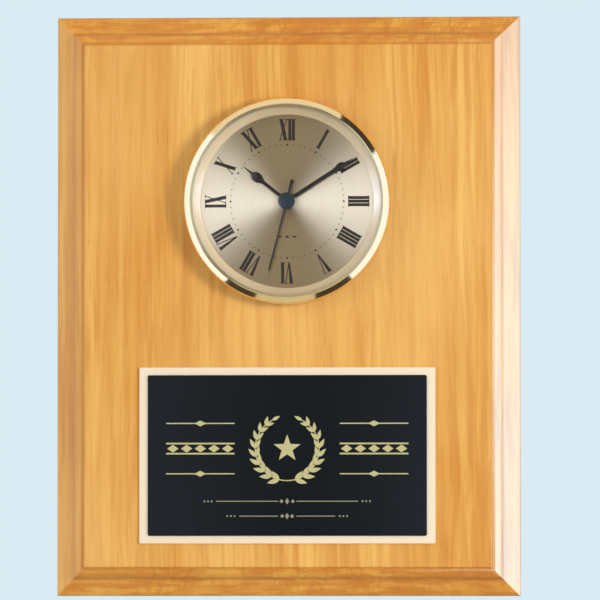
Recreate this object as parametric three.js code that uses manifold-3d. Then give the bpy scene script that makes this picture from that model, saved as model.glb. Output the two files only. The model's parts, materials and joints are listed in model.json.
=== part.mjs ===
// A wooden wall plaque with an insert quartz clock and an engraving plate.
// Millimetres. The board's back lies in the plane y = 0 and its front faces -Y; seen from the
// front, X points right and Z points up. The origin is the centre of the board's back.
import * as THREE from "three";
import { mergeVertices } from "three/addons/utils/BufferGeometryUtils.js";
import Module from "manifold-3d";

// Board
const boardWidth = 203.2;
const boardHeight = 254;
const boardThickness = 19;
const quirkWidth = 0.8; // small slope between the flat face and the moulding
const quirkDepth = 1;
const beadWidth = 4.2;
const beadDepth = 3;
const coveWidth = 3.2;
const coveDepth = 2.3;
const edgeWidth = 4.5; // the rolled outer edge
const edgeDepth = 3;
const beadSlope = 0.4; // fall per mm where the bead leaves the quirk
const steepSlope = 1.9; // fall per mm where the bead turns into the cove
const coveSlope = 0.42; // fall per mm where the cove turns into the outer edge
const curvePull = 0.5; // reach of the curves' handles, as a share of their widths or depths
const edgePull = 0.75; // share of the outer edge that keeps its slope before it rolls over
const hangerTopMargin = 26.5; // from the board's top to the middle of the keyhole's entry
const hangerEntryRadius = 4.75;
const hangerSlotWidth = 5;
const hangerTravel = 13;
const hangerLip = 3;
const hangerDepth = 9;

// Plates
const borderPlateWidth = 129.5;
const borderPlateHeight = 77;
const borderPlateThickness = 0.8;
const borderSide = 3.7; // width of the gold border left and right of the black plate
const borderTop = 3.4; // width of the gold border above and below it
const engravingPlateThickness = 0.6;
const plateBottomMargin = 61.4; // from the board's foot to the middle of the plates
const tapeThickness = 0.2;
const tapeInset = 2.5; // how far the tape stays inside the plate that it holds

// Battery and movement case, from which the clock's other sizes follow
const batteryRadius = 7;
const batteryLength = 49.2;
const nubRadius = 2.7;
const nubLength = 1;
const contactRoom = 1.9; // between each end of the battery and the case wall
const caseWall = 1;
const caseCorner = 8;
const partitionThickness = 0.9;
const coverThickness = 1;
const earReach = 5;
const earWidth = 14;
const earThickness = 1.5;

// Housing, bezel, lens and dial
const clockTopMargin = 81.5; // from the board's top to the middle of the clock
const movementGap = 0.616; // between the case's corners and the housing
const housingWall = 1.5;
const housingFloorThickness = 1.5;
const housingHoleGap = 1.6; // filled by the gasket
const gasketLength = 8;
const gasketSetback = 3;
const flangeBearing = 2.9; // how far the flange laps over the board
const flangeThickness = 1.5;
const bezelWall = 2.15;
const bezelSkirt = 6;
const bezelRise = 2.2;
const bezelLipReach = 1.7;
const bezelLipThickness = 0.35;
const lensThickness = 1.5;
const lensRise = 2;
const reflectorDepth = 3.5;
const reflectorWidth = 3.3;
const reflectorRim = 0.5;
const reflectorEdge = 1.3;
const dialThickness = 0.5;
const dialLap = 1.5; // how far the dial runs under the reflector ring

// Gears
const gearThickness = 1;
const timeModule = 0.4;
const coarseModule = 0.36;
const fineModule = 0.34;
const addendum = 0.8; // in modules
const dedendum = 1.2; // in modules
const toothTip = 0.1; // half a tooth's width at the tip, in pitches
const toothRoot = 0.23; // half a tooth's width at the root, in pitches
const cannonTeeth = 10;
const motionTeeth = 30;
const motionPinionTeeth = 8;
const hourTeeth = 32;
const settingTeeth = 12;
const centreTeeth = 45;
const thirdPinionTeeth = 6;
const thirdTeeth = 48;
const secondsPinionTeeth = 6;
const secondsTeeth = 36;
const intermediatePinionTeeth = 6;
const intermediateTeeth = 30;
const rotorPinionTeeth = 6;
const motionDirection = 160; // degrees, counterclockwise from +X
const thirdDirection = 60;
const intermediateDirection = -10;
const rotorDirection = 20;

// Arbors, pipes and knob
const arborRadius = 0.5;
const secondsArborRadius = 0.6;
const pipeWall = 0.6;
const hourPipeWall = 0.75;
const handSeatStep = 0.35; // how much a pipe narrows where its hand sits
const pivotGap = 0.2; // between an arbor and its hole
const pipeGap = 0.25; // between pipes that turn inside each other
const pivotDepth = 0.6;
const pivotPlay = 0.2;
const knobRadius = 6.5;
const knobThickness = 2.5;
const knobFlutes = 14;
const fluteRadius = 0.7;
const settingStemRadius = 1.5;
const motionPostRadius = 0.8;

// Motor, electronics and fasteners
const middlePlateThickness = 0.8;
const middlePlateMargin = 2.2; // from the case wall's inner face
const magnetRadius = 2.6;
const magnetLength = 1.6;
const statorHoleRadius = 3.2;
const statorRing = 1.9;
const statorThickness = 0.8;
const statorArmWidth = 3;
const coreWidth = 3;
const coreThickness = 0.8;
const coilOffset = 4.7; // from the case wall's inner face to the coil's axis
const coilRadius = 2.8;
const coilHalfLength = 8.6;
const bobbinRadius = 3.2;
const bobbinFlange = 0.8;
const bobbinSleeve = 0.5;
const statorArmGap = 0.5; // between the coil's bobbin and the stator's arms
const circuitWidth = 18;
const circuitHeight = 12;
const circuitThickness = 0.8;
const circuitLeft = 7; // from the case wall's inner face
const circuitTop = 2;
const circuitPostInset = 2.5; // from the circuit board's edges
const circuitLift = 2.6; // from the middle plate to the circuit board
const chipRadius = 2.4;
const chipHeight = 1.1;
const crystalRadius = 1;
const crystalLength = 6;
const crystalInset = 1; // from the circuit board's foot, and from its middle
const contactThickness = 0.4;
const contactWidth = 8;
const contactInset = 0.5; // between a contact and the case wall
const springFootRadius = 3.2;
const springTipRadius = 2.2;
const railOverlap = 1; // how far a contact's rail runs down its end plate
const positiveFingerInset = 1; // from the circuit board's edge
const stripWidth = 2.4;
const postRadius = 2;
const shoulderRadius = 2.8;
const supportRadius = 1.5;
const screwHeadRadius = 1.8;
const screwHeadHeight = 1;
const screwShankRadius = 0.8;
const screwLength = 5;
const statorHeadRadius = 1.6;
const statorHeadHeight = 0.8;
const statorScrewBite = 2; // length of thread in the middle plate's post
const slotWidth = 0.5;
const slotDepth = 0.5;
const lowScrewInset = 5; // from the case wall to the lower case screw
const lowScrewLift = 2.9; // above the battery's partition
const highScrewInset = 6; // from the case wall to the upper case screw
const highScrewDrop = 5; // below the case wall's top

// Hands
const shownHour = 10;
const shownMinute = 9;
const shownSecond = 32.4;
const handThickness = 0.4;
const hourHandLength = 25.2;
const hourHandShaft = 1.5;
const hourHandSwell = 4.3;
const hourHandSwellAt = 16.8;
const hourHubRadius = 3.6;
const minuteHandLength = 35;
const minuteHandShaft = 1.7;
const minuteHandSwell = 3.4;
const minuteHandSwellAt = 28;
const minuteHubRadius = 3;
const secondHandLength = 31.5;
const secondHandTail = 9.6;
const secondHandWidth = 0.7;
const secondTailWidth = 1.3;
const hubCapRadius = 3.75;
const hubCapHeight = 1.5;
const hubCapRound = 0.5;
const hourHandLead = 3.8; // degrees that the hour hand is pressed on ahead of the time
const hourHandClearance = 1.2; // from the dial to the hour hand
const handSpacing = 0.6; // from one hand to the next
const hubCapGap = 0.48; // from the minute hand to the hub cap

// Fits and facets
const fitGap = 0.2;
const runGap = 0.3;
const cutPast = 1; // how far a cutting tool runs past the face that it cuts
const roundSides = 48;
const smallSides = 20;
const postSides = 12;
const boreSteps = 8;
const weldDistance = 1e-4;

// Radii that follow from the case outwards
const caseInner = (batteryLength + nubLength) / 2 + contactRoom;
const caseHalf = caseInner + caseWall;
const caseReach = caseHalf * Math.SQRT2 - caseCorner * (Math.SQRT2 - 1);
const housingInner = caseReach + movementGap;
const housingRadius = housingInner + housingWall;
const holeRadius = housingRadius + housingHoleGap;
const flangeRadius = holeRadius + flangeBearing;
const bezelInner = flangeRadius + fitGap;
const bezelRadius = bezelInner + bezelWall;
const lensRadius = bezelInner - 2.5 * fitGap;
const reflectorRadius = lensRadius - 4 * fitGap;
const viewRadius = reflectorRadius - reflectorRim - reflectorWidth;
const dialRadius = viewRadius + dialLap;

// Levels along Y, forwards from the board's face
const face = -boardThickness;
const flangeFront = face - flangeThickness;
const dialFront = flangeFront - dialThickness;
const lensSeat = dialFront - reflectorDepth;
const hourHandBack = dialFront - hourHandClearance;
const minuteHandBack = hourHandBack - handThickness - handSpacing;
const secondHubBack = minuteHandBack - handThickness - hubCapGap;
const secondHandBack = secondHubBack - runGap;

// Levels along Y, backwards from the dial
const caseFloor = flangeFront + caseWall;
const hourLevel = caseFloor + runGap;
const timeLevel = hourLevel + gearThickness + runGap;
const centreLevel = timeLevel + gearThickness + runGap;
const thirdLevel = centreLevel + gearThickness + runGap;
const middlePlate = thirdLevel + gearThickness + runGap;
const secondsLevel = middlePlate + middlePlateThickness + runGap;
const intermediateLevel = secondsLevel + gearThickness + runGap;
const magnetLevel = intermediateLevel + gearThickness + runGap;
const statorLevel = magnetLevel + (magnetLength - statorThickness) / 2;
const coreLevel = statorLevel + statorThickness;
const coilLevel = coreLevel + coreThickness / 2;
const circuitLevel = middlePlate + middlePlateThickness + circuitLift;
const coverLevel = caseFloor + runGap + 2 * batteryRadius;
const coverBack = coverLevel + coverThickness;
const housingFloor = coverLevel;
const pivotFloor = caseFloor - pivotDepth;
const pivotRoof = coverLevel + pivotDepth;
const frontPivot = pivotFloor + pivotPlay;
const backPivot = pivotRoof - pivotPlay;

// Places across the movement, from the clock's axis
const cornerInner = caseCorner - caseWall;
const cornerRun = cornerInner - contactRoom;
const cornerLift = cornerInner - Math.sqrt(cornerInner ** 2 - cornerRun ** 2); // clears the battery's ends
const bayBottom = cornerLift - caseInner;
const bayHeight = 2 * batteryRadius + 1.5 * fitGap;
const batteryZ = bayBottom + bayHeight / 2;
const partitionBottom = bayBottom + bayHeight;
const partitionTop = partitionBottom + partitionThickness;
const coilX = caseInner - coilOffset;
const coilEnd = coilHalfLength + bobbinFlange + statorArmGap;
const coilZ = partitionTop + runGap + statorArmWidth + coilEnd;
const caseScrewPlaces = [
  [lowScrewInset - caseInner, partitionTop + lowScrewLift],
  [caseInner - highScrewInset, caseInner - highScrewDrop],
];
const statorScrewPlaces = [coilZ + coilEnd + statorArmWidth / 2, coilZ - coilEnd - statorArmWidth / 2];
const circuitMinX = circuitLeft - caseInner;
const circuitMaxZ = caseInner - circuitTop;
const movementScrewX = caseHalf + earReach / 2;

// Sizes of a gear in its plane
const pitchRadius = (teeth, module) => (teeth * module) / 2;
const tipRadius = (teeth, module) => pitchRadius(teeth, module) + addendum * module;
const gearDistance = (a, b, module) => pitchRadius(a + b, module);
const polar = (radius, angle) => new THREE.Vector2(radius * Math.cos(angle), radius * Math.sin(angle));
const placeFrom = (start, distance, degrees) =>
  start.clone().add(polar(distance, THREE.MathUtils.degToRad(degrees)));

const clockAxis = new THREE.Vector2(0, 0);
const motionPlace = placeFrom(
  clockAxis,
  gearDistance(cannonTeeth, motionTeeth, timeModule),
  motionDirection,
);
const settingPlace = placeFrom(
  motionPlace,
  gearDistance(motionTeeth, settingTeeth, timeModule),
  motionDirection,
);
const thirdPlace = placeFrom(
  clockAxis,
  gearDistance(secondsPinionTeeth, thirdTeeth, fineModule),
  thirdDirection,
);
const intermediatePlace = placeFrom(
  clockAxis,
  gearDistance(secondsTeeth, intermediatePinionTeeth, coarseModule),
  intermediateDirection,
);
const rotorPlace = placeFrom(
  intermediatePlace,
  gearDistance(intermediateTeeth, rotorPinionTeeth, fineModule),
  rotorDirection,
);

// The minute pipe runs round the seconds arbor, and the hour pipe round the minute pipe.
const cannonBore = secondsArborRadius + runGap;
const cannonRadius = cannonBore + pipeWall;
const hourBore = cannonRadius + pipeGap;
const hourPipeRadius = hourBore + hourPipeWall;
const dialHoleRadius = hourPipeRadius + runGap;
const centreBore = cannonRadius + pivotGap / 2;
const cannonTailRadius = cannonRadius - pivotGap / 2;

// Solids

const wasm = await Module();
wasm.setup();

function toSolid(geometry) {
  const bare = new THREE.BufferGeometry();
  bare.setAttribute("position", geometry.getAttribute("position"));
  bare.setIndex(geometry.index);
  const welded = mergeVertices(bare, weldDistance);
  const vertProperties = welded.getAttribute("position").array;
  const triVerts = new Uint32Array(welded.index.array);
  return new wasm.Manifold(new wasm.Mesh({ numProp: 3, vertProperties, triVerts }));
}

function toGeometry(solid) {
  const mesh = solid.getMesh();
  const geometry = new THREE.BufferGeometry();
  geometry.setAttribute("position", new THREE.BufferAttribute(mesh.vertProperties, 3));
  geometry.setIndex(new THREE.BufferAttribute(mesh.triVerts, 1));
  geometry.computeVertexNormals();
  return geometry;
}

function cut(body, ...tools) {
  return toGeometry(tools.reduce((rest, tool) => rest.subtract(toSolid(tool)), toSolid(body)));
}

function join(body, ...others) {
  return toGeometry(others.reduce((whole, other) => whole.add(toSolid(other)), toSolid(body)));
}

// A solid of revolution round the Y axis from pairs of radius and level.
function turned(profile, sides = roundSides) {
  const points = profile.map(([radius, level]) => new THREE.Vector2(radius, level));
  if (THREE.ShapeUtils.area(points) < 0) points.reverse();
  if (points[0].x > 0) points.push(points[0].clone());
  return new THREE.LatheGeometry(points, sides);
}

function disc(radius, front, back, sides = smallSides) {
  return turned([[0, front], [radius, front], [radius, back], [0, back]], sides);
}

function pipe(outer, inner, front, back, sides = smallSides) {
  return turned([[inner, front], [outer, front], [outer, back], [inner, back]], sides);
}

function at(geometry, place) {
  return geometry.translate(place.x, 0, place.y);
}

// A flat shape in X and Z with its thickness from the front level to the back level.
function slab(shape, front, back, curveSteps = boreSteps) {
  const options = { depth: back - front, bevelEnabled: false, curveSegments: curveSteps };
  const geometry = new THREE.ExtrudeGeometry(shape, options);
  geometry.rotateX(Math.PI / 2);
  geometry.translate(0, back, 0);
  return geometry;
}

function block(minX, maxX, front, back, minZ, maxZ) {
  const geometry = new THREE.BoxGeometry(maxX - minX, back - front, maxZ - minZ);
  return geometry.translate((minX + maxX) / 2, (front + back) / 2, (minZ + maxZ) / 2);
}

function roundedSquare(half, corner) {
  const flat = half - corner;
  const shape = new THREE.Shape();
  shape.absarc(flat, flat, corner, 0, Math.PI / 2);
  shape.absarc(-flat, flat, corner, Math.PI / 2, Math.PI);
  shape.absarc(-flat, -flat, corner, Math.PI, 1.5 * Math.PI);
  shape.absarc(flat, -flat, corner, 1.5 * Math.PI, 2 * Math.PI);
  shape.closePath();
  return shape;
}

function circlePath(radius, x = 0, z = 0) {
  return new THREE.Path().absarc(x, z, radius, 0, 2 * Math.PI);
}

function gear(teeth, module, phase, front, bore = 0, back = front + gearThickness) {
  const pitch = (2 * Math.PI) / teeth;
  const root = pitchRadius(teeth, module) - dedendum * module;
  const tip = tipRadius(teeth, module);
  const outline = [];
  for (let tooth = 0; tooth < teeth; tooth++) {
    const middle = phase + tooth * pitch;
    outline.push(polar(root, middle - toothRoot * pitch));
    outline.push(polar(tip, middle - toothTip * pitch));
    outline.push(polar(tip, middle + toothTip * pitch));
    outline.push(polar(root, middle + toothRoot * pitch));
  }
  const shape = new THREE.Shape(outline);
  if (bore > 0) shape.holes.push(circlePath(bore));
  return slab(shape, front, back);
}

// The phase that puts a gap of the second gear over each tooth of the first one, where the
// second gear's centre lies in the given direction from the first one's.
function meshedPhase(firstPhase, firstTeeth, secondTeeth, degrees) {
  const direction = THREE.MathUtils.degToRad(degrees);
  const turn = ((firstPhase - direction) * firstTeeth) / secondTeeth;
  return direction + Math.PI - turn + Math.PI / secondTeeth;
}

function screwHole(x, z, gap, front, back) {
  return disc(screwShankRadius + gap, front, back, postSides).translate(x, 0, z);
}

// A slotted screw with the underside of its head at y = 0.
function screw(headRadius, headHeight, length) {
  const body = turned(
    [[0, -length], [screwShankRadius, -length], [screwShankRadius, 0], [headRadius, 0],
      [headRadius, headHeight], [0, headHeight]],
    postSides,
  );
  const slot = block(
    -headRadius - cutPast, headRadius + cutPast,
    headHeight - slotDepth, headHeight + cutPast,
    -slotWidth / 2, slotWidth / 2,
  );
  return cut(body, slot);
}

// Materials

const finishes = {
  wood: { color: 0xe4ae6a, roughness: 0.45, metalness: 0 },
  goldPlate: { color: 0xf2d9a8, roughness: 0.3, metalness: 0.8 },
  blackPlate: { color: 0x202224, roughness: 0.35, metalness: 0.2 },
  tape: { color: 0xe8e6df, roughness: 0.9, metalness: 0 },
  polishedGold: { color: 0xf0cf80, roughness: 0.1, metalness: 1 },
  dialBrass: { color: 0xd9bf8c, roughness: 0.35, metalness: 0.9 },
  cream: { color: 0xd9c3a0, roughness: 0.5, metalness: 0.1 },
  glass: { color: 0xffffff, roughness: 0.02, metalness: 0, transparent: true, opacity: 0.15 },
  handBlack: { color: 0x241c18, roughness: 0.4, metalness: 0.1 },
  blackPlastic: { color: 0x1c1c1e, roughness: 0.6, metalness: 0 },
  rubber: { color: 0x161616, roughness: 0.85, metalness: 0 },
  whitePlastic: { color: 0xe9e7df, roughness: 0.5, metalness: 0 },
  steel: { color: 0xb9bcc0, roughness: 0.3, metalness: 1 },
  magnet: { color: 0x3c3c40, roughness: 0.5, metalness: 0.5 },
  copper: { color: 0xb56a3c, roughness: 0.35, metalness: 0.9 },
  circuitGreen: { color: 0x1f5a35, roughness: 0.6, metalness: 0 },
  batteryJacket: { color: 0x2b3d4f, roughness: 0.35, metalness: 0.4 },
};

function piece(name, geometry, finish, parent, place = clockAxis) {
  const mesh = new THREE.Mesh(geometry, new THREE.MeshStandardMaterial(finishes[finish]));
  mesh.name = name;
  mesh.position.set(place.x, 0, place.y);
  parent.add(mesh);
  return mesh;
}

// Board and plates

// Points of inset from the edge and level, from the flat face round the moulding to the back.
function mouldingProfile() {
  const coveTurn = edgeWidth;
  const beadTurn = coveTurn + coveWidth;
  const quirkTurn = beadTurn + beadWidth;
  const beadTop = face + quirkDepth;
  const beadFoot = beadTop + beadDepth;
  const coveFoot = beadFoot + coveDepth;
  const edgeFoot = coveFoot + edgeDepth;
  const path = new THREE.Path();
  path.moveTo(quirkTurn + quirkWidth, face);
  path.lineTo(quirkTurn, beadTop);
  path.bezierCurveTo(
    quirkTurn - curvePull * beadWidth, beadTop + beadSlope * curvePull * beadWidth,
    beadTurn + (curvePull * beadDepth) / steepSlope, beadFoot - curvePull * beadDepth,
    beadTurn, beadFoot,
  );
  path.bezierCurveTo(
    beadTurn - (curvePull * coveDepth) / steepSlope, beadFoot + curvePull * coveDepth,
    coveTurn + curvePull * coveWidth, coveFoot - coveSlope * curvePull * coveWidth,
    coveTurn, coveFoot,
  );
  path.bezierCurveTo(
    coveTurn - edgePull * edgeWidth, coveFoot + coveSlope * edgePull * edgeWidth,
    0, coveFoot + edgePull * edgeDepth,
    0, edgeFoot,
  );
  path.lineTo(0, 0);
  return path.getPoints(6);
}

// A rectangular block whose four edges all follow one profile, with mitred corners.
function mouldedBlock(width, height, profile) {
  const positions = [];
  const faces = [];
  for (const point of profile) {
    const x = width / 2 - point.x;
    const z = height / 2 - point.x;
    positions.push(-x, point.y, -z, x, point.y, -z, x, point.y, z, -x, point.y, z);
  }
  for (let ring = 0; ring + 1 < profile.length; ring++) {
    for (let corner = 0; corner < 4; corner++) {
      const here = 4 * ring + corner;
      const next = 4 * ring + ((corner + 1) % 4);
      faces.push(here, here + 4, next);
      faces.push(next, here + 4, next + 4);
    }
  }
  const last = 4 * (profile.length - 1);
  faces.push(0, 1, 2, 0, 2, 3);
  faces.push(last, last + 2, last + 1, last, last + 3, last + 2);
  const geometry = new THREE.BufferGeometry();
  geometry.setAttribute("position", new THREE.Float32BufferAttribute(positions, 3));
  geometry.setIndex(faces);
  return geometry;
}

function slotShape(halfWidth, startZ, endZ) {
  const shape = new THREE.Shape();
  shape.absarc(0, endZ, halfWidth, 0, Math.PI);
  shape.absarc(0, startZ, halfWidth, Math.PI, 2 * Math.PI);
  shape.closePath();
  return shape;
}

function board(clockZ) {
  const blank = mouldedBlock(boardWidth, boardHeight, mouldingProfile());
  const hole = disc(holeRadius, face - cutPast, cutPast, roundSides).translate(0, 0, clockZ);
  const entryZ = boardHeight / 2 - hangerTopMargin;
  const slotEnd = entryZ + hangerTravel;
  const entry = disc(hangerEntryRadius, -hangerDepth, cutPast).translate(0, 0, entryZ);
  const slot = slab(slotShape(hangerSlotWidth / 2, entryZ, slotEnd), -hangerDepth, cutPast);
  const undercut = slab(slotShape(hangerEntryRadius, entryZ, slotEnd), -hangerDepth, -hangerLip, 12);
  return cut(blank, hole, entry, slot, undercut);
}

// Each plate with the tape pad that holds it, from the board's face forwards.
function addPlates(parent) {
  const layers = [
    ["plate_adhesive", borderPlateWidth - 2 * tapeInset, borderPlateHeight - 2 * tapeInset,
      tapeThickness, "tape"],
    ["plate_backing", borderPlateWidth, borderPlateHeight, borderPlateThickness, "goldPlate"],
    ["engraving_adhesive", borderPlateWidth - 2 * (borderSide + tapeInset),
      borderPlateHeight - 2 * (borderTop + tapeInset), tapeThickness, "tape"],
    ["engraving_plate", borderPlateWidth - 2 * borderSide, borderPlateHeight - 2 * borderTop,
      engravingPlateThickness, "blackPlate"],
  ];
  const place = new THREE.Vector2(0, plateBottomMargin - boardHeight / 2);
  let back = face;
  for (const [name, width, height, thickness, finish] of layers) {
    const front = back - thickness;
    piece(name, block(-width / 2, width / 2, front, back, -height / 2, height / 2), finish, parent, place);
    back = front;
  }
}

// Housing, gasket, bezel, lens, reflector ring and dial

function housing() {
  const floorBack = housingFloor + housingFloorThickness;
  const shell = turned([
    [0, housingFloor],
    [housingInner, housingFloor],
    [housingInner, flangeFront],
    [flangeRadius, flangeFront],
    [flangeRadius, face],
    [housingRadius, face],
    [housingRadius, floorBack],
    [0, floorBack],
  ]);
  const window = slab(
    roundedSquare(caseHalf + runGap, caseCorner + runGap),
    housingFloor - cutPast,
    floorBack + cutPast,
  );
  const holes = [-movementScrewX, movementScrewX].map((x) =>
    screwHole(x, 0, runGap, housingFloor - cutPast, floorBack + cutPast),
  );
  return cut(shell, window, ...holes);
}

function gasket() {
  const front = face + gasketSetback;
  const inner = housingRadius + fitGap;
  const outer = holeRadius - fitGap;
  const ribs = 2;
  const rib = gasketLength / ribs;
  const valley = (inner + outer) / 2;
  const profile = [[inner, front + gasketLength], [inner, front]];
  for (let index = 0; index < ribs; index++) {
    profile.push([valley, front + index * rib]);
    profile.push([outer, front + (index + 0.5) * rib]);
  }
  profile.push([valley, front + gasketLength]);
  return turned(profile);
}

function bezel() {
  const skirtBack = face - fitGap;
  const shoulder = skirtBack - bezelSkirt;
  const crestRadius = bezelInner - fitGap;
  const lipBack = lensSeat - lensThickness - bezelLipThickness;
  const lipRadius = bezelInner - bezelLipReach;
  const band = new THREE.Path();
  band.moveTo(bezelRadius, skirtBack);
  band.lineTo(bezelRadius, shoulder);
  band.absellipse(crestRadius, shoulder, bezelRadius - crestRadius, bezelRise, 0, -Math.PI / 2, true);
  const outer = band.getPoints(3).map((point) => [point.x, point.y]);
  return turned([
    [bezelInner, skirtBack],
    ...outer,
    [lipRadius, lipBack - bezelLipThickness],
    [lipRadius, lipBack],
    [bezelInner, lipBack],
  ]);
}

function lens() {
  const steps = 4;
  const dome = (edge) => {
    const points = [];
    for (let step = 0; step <= steps; step++) {
      const share = step / steps;
      points.push([share * lensRadius, edge - lensRise * (1 - share * share)]);
    }
    return points;
  };
  return turned([...dome(lensSeat - lensThickness), ...dome(lensSeat).reverse()]);
}

function reflectorRing() {
  const foot = dialRadius + 1.25 * fitGap;
  return turned([
    [viewRadius, dialFront],
    [viewRadius, dialFront - reflectorEdge],
    [reflectorRadius - reflectorRim, lensSeat],
    [reflectorRadius, lensSeat],
    [reflectorRadius, flangeFront],
    [foot, flangeFront],
    [foot, dialFront],
  ]);
}

function addHeadParts(parent) {
  piece("clock_housing", housing(), "blackPlastic", parent);
  piece("gasket", gasket(), "rubber", parent);
  piece("bezel", bezel(), "polishedGold", parent);
  piece("lens", lens(), "glass", parent);
  piece("reflector_ring", reflectorRing(), "cream", parent);
  piece("dial", pipe(dialRadius, dialHoleRadius, dialFront, flangeFront, roundSides), "dialBrass", parent);
}

// Movement case and middle plate

function pivotHole(place, front, back, radius = arborRadius) {
  return at(disc(radius + pivotGap, front, back, 2 * boreSteps), place);
}

function caseFront() {
  const outer = slab(roundedSquare(caseHalf, caseCorner), flangeFront, coverLevel);
  const inner = slab(
    roundedSquare(caseInner, cornerInner),
    caseFloor,
    coverLevel + cutPast,
  );
  const partition = block(
    -caseInner + contactRoom - contactInset, caseInner - contactRoom + contactInset,
    caseFloor - cutPast / 2, coverLevel, partitionBottom, partitionTop,
  );
  const ears = [-1, 1].map((side) => {
    const start = side * (caseHalf - caseWall / 2);
    const end = side * (caseHalf + earReach);
    return block(
      Math.min(start, end), Math.max(start, end),
      housingFloor - earThickness, housingFloor, -earWidth / 2, earWidth / 2,
    );
  });
  const screwBosses = caseScrewPlaces.map(([x, z]) =>
    join(
      disc(shoulderRadius, caseFloor - cutPast / 2, middlePlate, postSides),
      disc(postRadius, caseFloor - cutPast / 2, coverLevel, postSides),
    ).translate(x, 0, z),
  );
  const motionPost = at(
    disc(motionPostRadius, caseFloor - cutPast / 2, timeLevel + gearThickness),
    motionPlace,
  );
  const screwHoles = caseScrewPlaces.map(([x, z]) =>
    screwHole(x, z, fitGap, coverLevel - screwLength - cutPast, coverLevel + cutPast),
  );
  const earHoles = [-movementScrewX, movementScrewX].map((x) =>
    screwHole(x, 0, fitGap, housingFloor - 2 * earThickness, housingFloor + cutPast),
  );
  return cut(
    join(cut(outer, inner), partition, ...ears, ...screwBosses, motionPost),
    disc(dialHoleRadius, flangeFront - cutPast, caseFloor + cutPast),
    pivotHole(thirdPlace, pivotFloor, caseFloor + cutPast),
    pivotHole(settingPlace, pivotFloor, caseFloor + cutPast),
    ...screwHoles,
    ...earHoles,
  );
}

function middlePlateBody() {
  const reach = caseInner - middlePlateMargin;
  const back = middlePlate + middlePlateThickness;
  const sheet = block(-reach, reach, middlePlate, back, partitionTop + fitGap, reach);
  const statorPosts = statorScrewPlaces.map((z) =>
    disc(supportRadius, back - middlePlateThickness / 2, statorLevel, postSides).translate(coilX, 0, z),
  );
  const circuitPosts = [
    [circuitMinX + circuitPostInset, circuitMaxZ - circuitHeight + circuitPostInset],
    [circuitMinX + circuitWidth - circuitPostInset, circuitMaxZ - circuitPostInset],
  ].map(([x, z]) =>
    disc(supportRadius, back - middlePlateThickness / 2, circuitLevel, postSides).translate(x, 0, z),
  );
  const bossHoles = caseScrewPlaces.map(([x, z]) =>
    disc(postRadius + fitGap, middlePlate - cutPast, back + cutPast, postSides).translate(x, 0, z),
  );
  const threadHoles = statorScrewPlaces.map((z) =>
    screwHole(coilX, z, fitGap, back - middlePlateThickness / 2, coreLevel + cutPast),
  );
  const through = [
    [clockAxis, tipRadius(secondsPinionTeeth, fineModule)],
    [thirdPlace, arborRadius],
    [intermediatePlace, arborRadius],
    [rotorPlace, arborRadius],
    [settingPlace, settingStemRadius],
  ].map(([place, radius]) => pivotHole(place, middlePlate - cutPast, back + cutPast, radius));
  return cut(join(sheet, ...statorPosts, ...circuitPosts), ...bossHoles, ...threadHoles, ...through);
}

function caseCover() {
  const plate = slab(roundedSquare(caseHalf, caseCorner), coverLevel, coverBack);
  const batteryOpening = block(
    -caseHalf - cutPast, caseHalf + cutPast,
    coverLevel - cutPast, coverBack + cutPast,
    -caseHalf - cutPast, partitionTop - partitionThickness / 2,
  );
  const screwHoles = caseScrewPlaces.map(([x, z]) =>
    screwHole(x, z, runGap, coverLevel - cutPast, coverBack + cutPast),
  );
  const sockets = [
    [clockAxis, secondsArborRadius],
    [intermediatePlace, arborRadius],
    [rotorPlace, arborRadius],
  ].map(([place, radius]) => pivotHole(place, coverLevel - cutPast, pivotRoof, radius));
  const stemHole = pivotHole(settingPlace, coverLevel - cutPast, coverBack + cutPast, settingStemRadius);
  return cut(plate, batteryOpening, ...screwHoles, ...sockets, stemHole);
}

function addCase(parent) {
  piece("movement_case_front", caseFront(), "whitePlastic", parent);
  piece("middle_plate", middlePlateBody(), "whitePlastic", parent);
  piece("movement_case_back", caseCover(), "blackPlastic", parent);
  caseScrewPlaces.forEach(([x, z], index) => {
    const mesh = piece(
      "case_screw_" + (index + 1),
      screw(screwHeadRadius, screwHeadHeight, coverThickness + screwLength),
      "steel",
      parent,
      new THREE.Vector2(x, z),
    );
    mesh.position.y = coverBack;
  });
  [-movementScrewX, movementScrewX].forEach((x, index) => {
    const mesh = piece(
      "movement_screw_" + (index + 1),
      screw(screwHeadRadius, screwHeadHeight, housingFloorThickness + earThickness),
      "steel",
      parent,
      new THREE.Vector2(x, 0),
    );
    mesh.position.y = housingFloor + housingFloorThickness;
  });
}

// Motor, circuit, contacts and battery

function stator() {
  const back = coreLevel;
  const low = statorScrewPlaces[1] - statorArmWidth / 2;
  const high = statorScrewPlaces[0] + statorArmWidth / 2;
  const ringRadius = statorHoleRadius + statorRing;
  const end = coilX + coreWidth / 2;
  const leg = rotorPlace.x - statorArmWidth / 2;
  return cut(
    join(
      at(disc(ringRadius, statorLevel, back, roundSides / 2), rotorPlace),
      block(leg, leg + statorArmWidth, statorLevel, back, low, high),
      block(leg, end, statorLevel, back, high - statorArmWidth, high),
      block(leg, end, statorLevel, back, low, low + statorArmWidth),
    ),
    at(disc(statorHoleRadius, statorLevel - cutPast, back + cutPast), rotorPlace),
    ...statorScrewPlaces.map((z) => screwHole(coilX, z, fitGap, statorLevel - cutPast, back + cutPast)),
  );
}

function coilCore() {
  const low = statorScrewPlaces[1] - statorArmWidth / 2;
  const high = statorScrewPlaces[0] + statorArmWidth / 2;
  const half = coreWidth / 2;
  const bar = block(coilX - half, coilX + half, coreLevel, coreLevel + coreThickness, low, high);
  return cut(
    bar,
    ...statorScrewPlaces.map((z) =>
      screwHole(coilX, z, fitGap, coreLevel - cutPast, coreLevel + coreThickness + cutPast),
    ),
  );
}

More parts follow.
